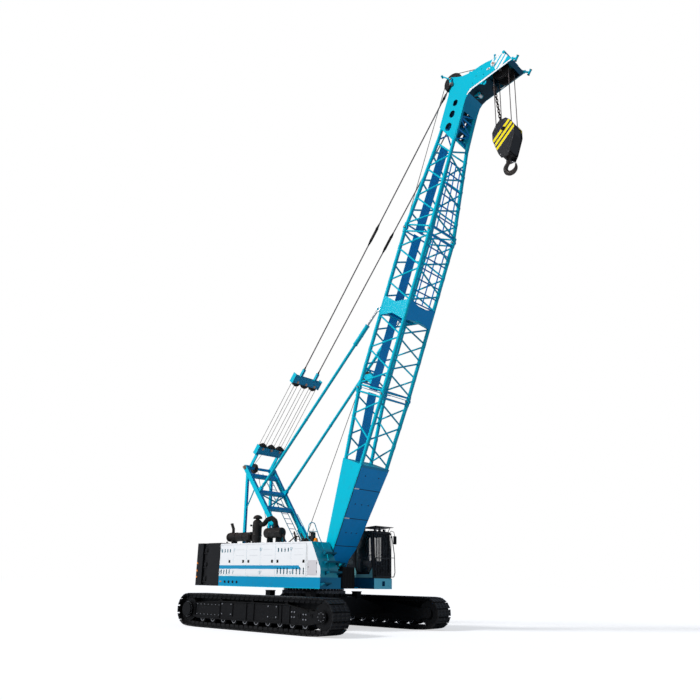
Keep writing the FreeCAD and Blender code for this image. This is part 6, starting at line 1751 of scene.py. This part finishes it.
def recess_shade_block():
    """Ribbed black block and hoses at the front of the revolving frame, between the boom's feet; the black
    block is painted shade for the recess there.
    """
    parts = [pressed(slab((1.47, -0.2, 1.46), (1.66, 0.5, 2.23), soften=0.015), AHEAD, 0.1, 0.05, -0.012)]
    parts += [slab((1.64, y - 0.012, 1.55), (1.662, y + 0.012, 2.15)) for y in span(-0.1, 0.4, 4)]
    parts += [pipe(on_side([(1.5, 2.2), (1.56, 2.27), (1.52, 2.3), (1.42, 2.22)], y), 0.016, bend=0.03)
              for y in (-0.14, -0.06)]
    # painted shade: the black block fills the shadowed recess in front of the frame
    finished(parts, "frame_front_shade_block", "rubber")


def cab_inside():
    """Control boxes, levers, pedals, screen and the seat's suspension seen through the glass."""
    x, y, z = SEAT_PLACE
    boxes = []
    for side in (-1, 1):
        console = block((x - 0.2, x + 0.42), (y + side * 0.31, y + side * 0.43), (z + 0.1, z + 0.62),
                        soften=0.02)
        arm_rest = (y + side * 0.32, y + side * 0.41)
        boxes += [pressed(console, UP, 0.02, 0.02, -0.008),
                  block((x - 0.14, x + 0.1), arm_rest, (z + 0.7, z + 0.75), soften=0.018)]
        for offset in (0.22, 0.32):
            foot = Vector((x + offset, y + side * 0.37, z + 0.62))
            boxes += [bar(foot, foot + Vector((0.03, 0, 0.17)), 0.009, sides=8),
                      turned(foot + Vector((0.03, 0, 0.16)), (0.15, 0, 1),
                             [(0, 0.014), (0.02, 0.026), (0.06, 0.026), (0.08, 0.012)], sides=12)]
    boxes += [slab((1.86, 1.2, 2.0), (2.02, 1.95, 2.35), soften=0.03),
              slab((1.84, 1.24, 2.4), (1.9, 1.52, 2.62), soften=0.012),
              bar((1.9, 1.38, 2.3), (1.88, 1.38, 2.45), 0.02, sides=8)]
    boxes += [slab((1.62, at - 0.04, 1.93), (1.8, at + 0.04, 1.96), soften=0.008) for at in (1.45, 1.6, 1.75)]
    boxes.append(slab((0.4, 1.1, 1.9), (0.62, 2.05, 2.5), soften=0.02))
    finished(boxes, "cab_controls", "cab_grey")
    base = [slab((x - 0.2, y - 0.18, z), (x + 0.2, y + 0.18, z + 0.04), soften=0.008),
            slab((x - 0.2, y - 0.19, z + 0.26), (x + 0.2, y + 0.19, z + 0.31), soften=0.008)]
    x0, x1, y0, y1 = x - 0.17, x + 0.17, y - 0.15, y + 0.15
    base += [seal([(x0, y0, level), (x1, y0, level), (x1, y1, level), (x0, y1, level)], 0.016)
             for level in span(z + 0.06, z + 0.24, 5)]
    base.append(slab((x - 0.16, y - 0.14, z + 0.03), (x + 0.16, y + 0.14, z + 0.27), soften=0.01))
    finished(base, "seat_suspension", "rubber")


SEAM_WIDTH, SEAM_DEPTH = 0.016, 0.009


def cushion(low, high, name, crown, channels=()):
    """A padded form: a soft block that air pressure swells, then smooths, with its sewn channels."""
    inset = Vector((0.012,) * 3)
    soft = slab(Vector(low) + inset, Vector(high) - inset, soften=0.03)
    applied(soft, "REMESH", mode="VOXEL", voxel_size=0.011)
    start = [vertex.co.copy() for vertex in soft.data.vertices]
    filling = soft.modifiers.new("filling", "CLOTH")
    filling.settings.quality = 5
    filling.settings.use_pressure = True
    filling.settings.uniform_pressure_force = 4.0
    filling.settings.effector_weights.gravity = 0.0
    for step in range(1, 21):
        bpy.context.scene.frame_set(step)
    bpy.ops.object.modifier_apply(modifier=filling.name)
    bpy.context.scene.frame_set(1)
    for vertex, before in zip(soft.data.vertices, start):
        shift = vertex.co - before
        if shift.length > crown:
            vertex.co = before + shift.normalized() * crown
    for axis, place in channels:
        for vertex in soft.data.vertices:
            away = abs(vertex.co[axis] - place) / SEAM_WIDTH
            if away < 1.0:
                sink = SEAM_DEPTH * (1 - away * away)
                if axis == 2 or vertex.normal.x > 0.5:
                    vertex.co.x -= sink
                if axis == 1 and vertex.normal.z > 0.5:
                    vertex.co.z -= sink
    piece = finished(applied(soft, "SUBSURF", levels=1, render_levels=1), name, "seat_cloth")
    return piece


def operator_seat():
    x, y, z = SEAT_PLACE
    base = cushion((x - 0.25, y - 0.26, z + 0.315), (x + 0.27, y + 0.26, z + 0.45), "seat_cushion", 0.014,
                   [(1, y - 0.13), (1, y + 0.13)])
    cushion((x - 0.33, y - 0.25, z + 0.455), (x - 0.2, y + 0.25, z + 0.95), "seat_back", 0.014,
            [(2, z + 0.6), (2, z + 0.75)])
    cushion((x - 0.33, y - 0.15, z + 0.98), (x - 0.22, y + 0.15, z + 1.15), "seat_headrest", 0.012)
    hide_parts("operator_seat")
    # the piping runs a little inside the cushion's edge
    ring = [((x + dx * (1 - 0.012 / 0.26), y + dy * (1 - 0.012 / 0.26), z + 0.385))
            for dx, dy in ((-0.25, -0.26), (0.27, -0.26), (0.27, 0.26), (-0.25, 0.26))]
    parts = [pipe(ring, 0.005, sides=6, closed=True)]
    parts += [bar((x - 0.275, y + dy, z + 0.9), (x - 0.275, y + dy, z + 1.02), 0.008, sides=8)
              for dy in (-0.06, 0.06)]
    finished(parts, "seat_piping", "rubber")


for make in (cab_glazing, cab_side_trim, cab_front_fittings, visor_trim, recess_shade_block, cab_inside,
             operator_seat):
    make()


# -------------------- camera, floor and light
EYE = Vector((20.34, -21.217, 1.798))
YAW, PITCH, ROLL = (math.radians(angle) for angle in (131.370, 17.744, 0.986))


def camera():
    look = Vector((math.cos(YAW) * math.cos(PITCH), math.sin(YAW) * math.cos(PITCH), math.sin(PITCH)))
    right = Vector((math.sin(YAW), -math.cos(YAW), 0.0))
    up = right.cross(look)
    tilted_right = right * math.cos(ROLL) + up * math.sin(ROLL)
    tilted_up = up * math.cos(ROLL) - right * math.sin(ROLL)
    lens = bpy.data.cameras.new("camera")
    lens.lens = 36.815
    lens.sensor_width = 36.0
    lens.clip_end = 500.0
    made = bpy.data.objects.new("camera", lens)
    bpy.context.collection.objects.link(made)
    turn = Matrix((tilted_right, tilted_up, -look)).transposed().to_4x4()
    made.matrix_world = Matrix.Translation(EYE) @ turn
    bpy.context.scene.camera = made


def surroundings():
    bpy.ops.mesh.primitive_plane_add(size=400.0, location=(0.0, 0.0, -0.002))
    floor = bpy.context.object
    floor.name = "floor"
    pale = bpy.data.materials.new("pale_floor")
    pale.use_nodes = True
    tree = pale.node_tree
    shader = tree.nodes["Principled BSDF"]
    shader.inputs["Base Color"].default_value = (0.55, 0.55, 0.56, 1.0)
    shader.inputs["Roughness"].default_value = 0.9
    shader.inputs["Emission Color"].default_value = (1.0, 1.0, 1.0, 1.0)
    looked_at = Field(tree, node(tree, "ShaderNodeLightPath").outputs["Is Camera Ray"])
    tree.links.new((looked_at * 0.6).socket, shader.inputs["Emission Strength"])
    floor.data.materials.append(pale)
    world = bpy.data.worlds.new("studio")
    bpy.context.scene.world = world
    world.use_nodes = True
    sky = world.node_tree
    fill = sky.nodes["Background"]
    fill.inputs["Color"].default_value = (0.68, 0.8, 1.0, 1.0)
    fill.inputs["Strength"].default_value = 0.26
    backdrop = node(sky, "ShaderNodeBackground", {"Color": (1.0, 1.0, 1.0, 1.0), "Strength": 1.0})
    seen = node(sky, "ShaderNodeLightPath").outputs["Is Camera Ray"]
    shown = node(sky, "ShaderNodeMixShader", {0: seen, 1: fill.outputs[0], 2: backdrop.outputs[0]})
    sky.links.new(shown.outputs[0], sky.nodes["World Output"].inputs["Surface"])
    bpy.context.scene.view_settings.view_transform = "Standard"
    for name, energy, way, glint in (("key", 3.1, (-0.45, -1.0, 0.75), False),
                                     ("glint", 0.35, (-0.5, -0.8, 0.35), True)):
        sun = bpy.data.lights.new(name, "SUN")
        sun.energy = energy
        sun.angle = math.radians(12)
        lamp = bpy.data.objects.new(name, sun)
        lamp.rotation_euler = aim(Vector(way))
        lamp.visible_glossy = glint
        bpy.context.collection.objects.link(lamp)


camera()
surroundings()
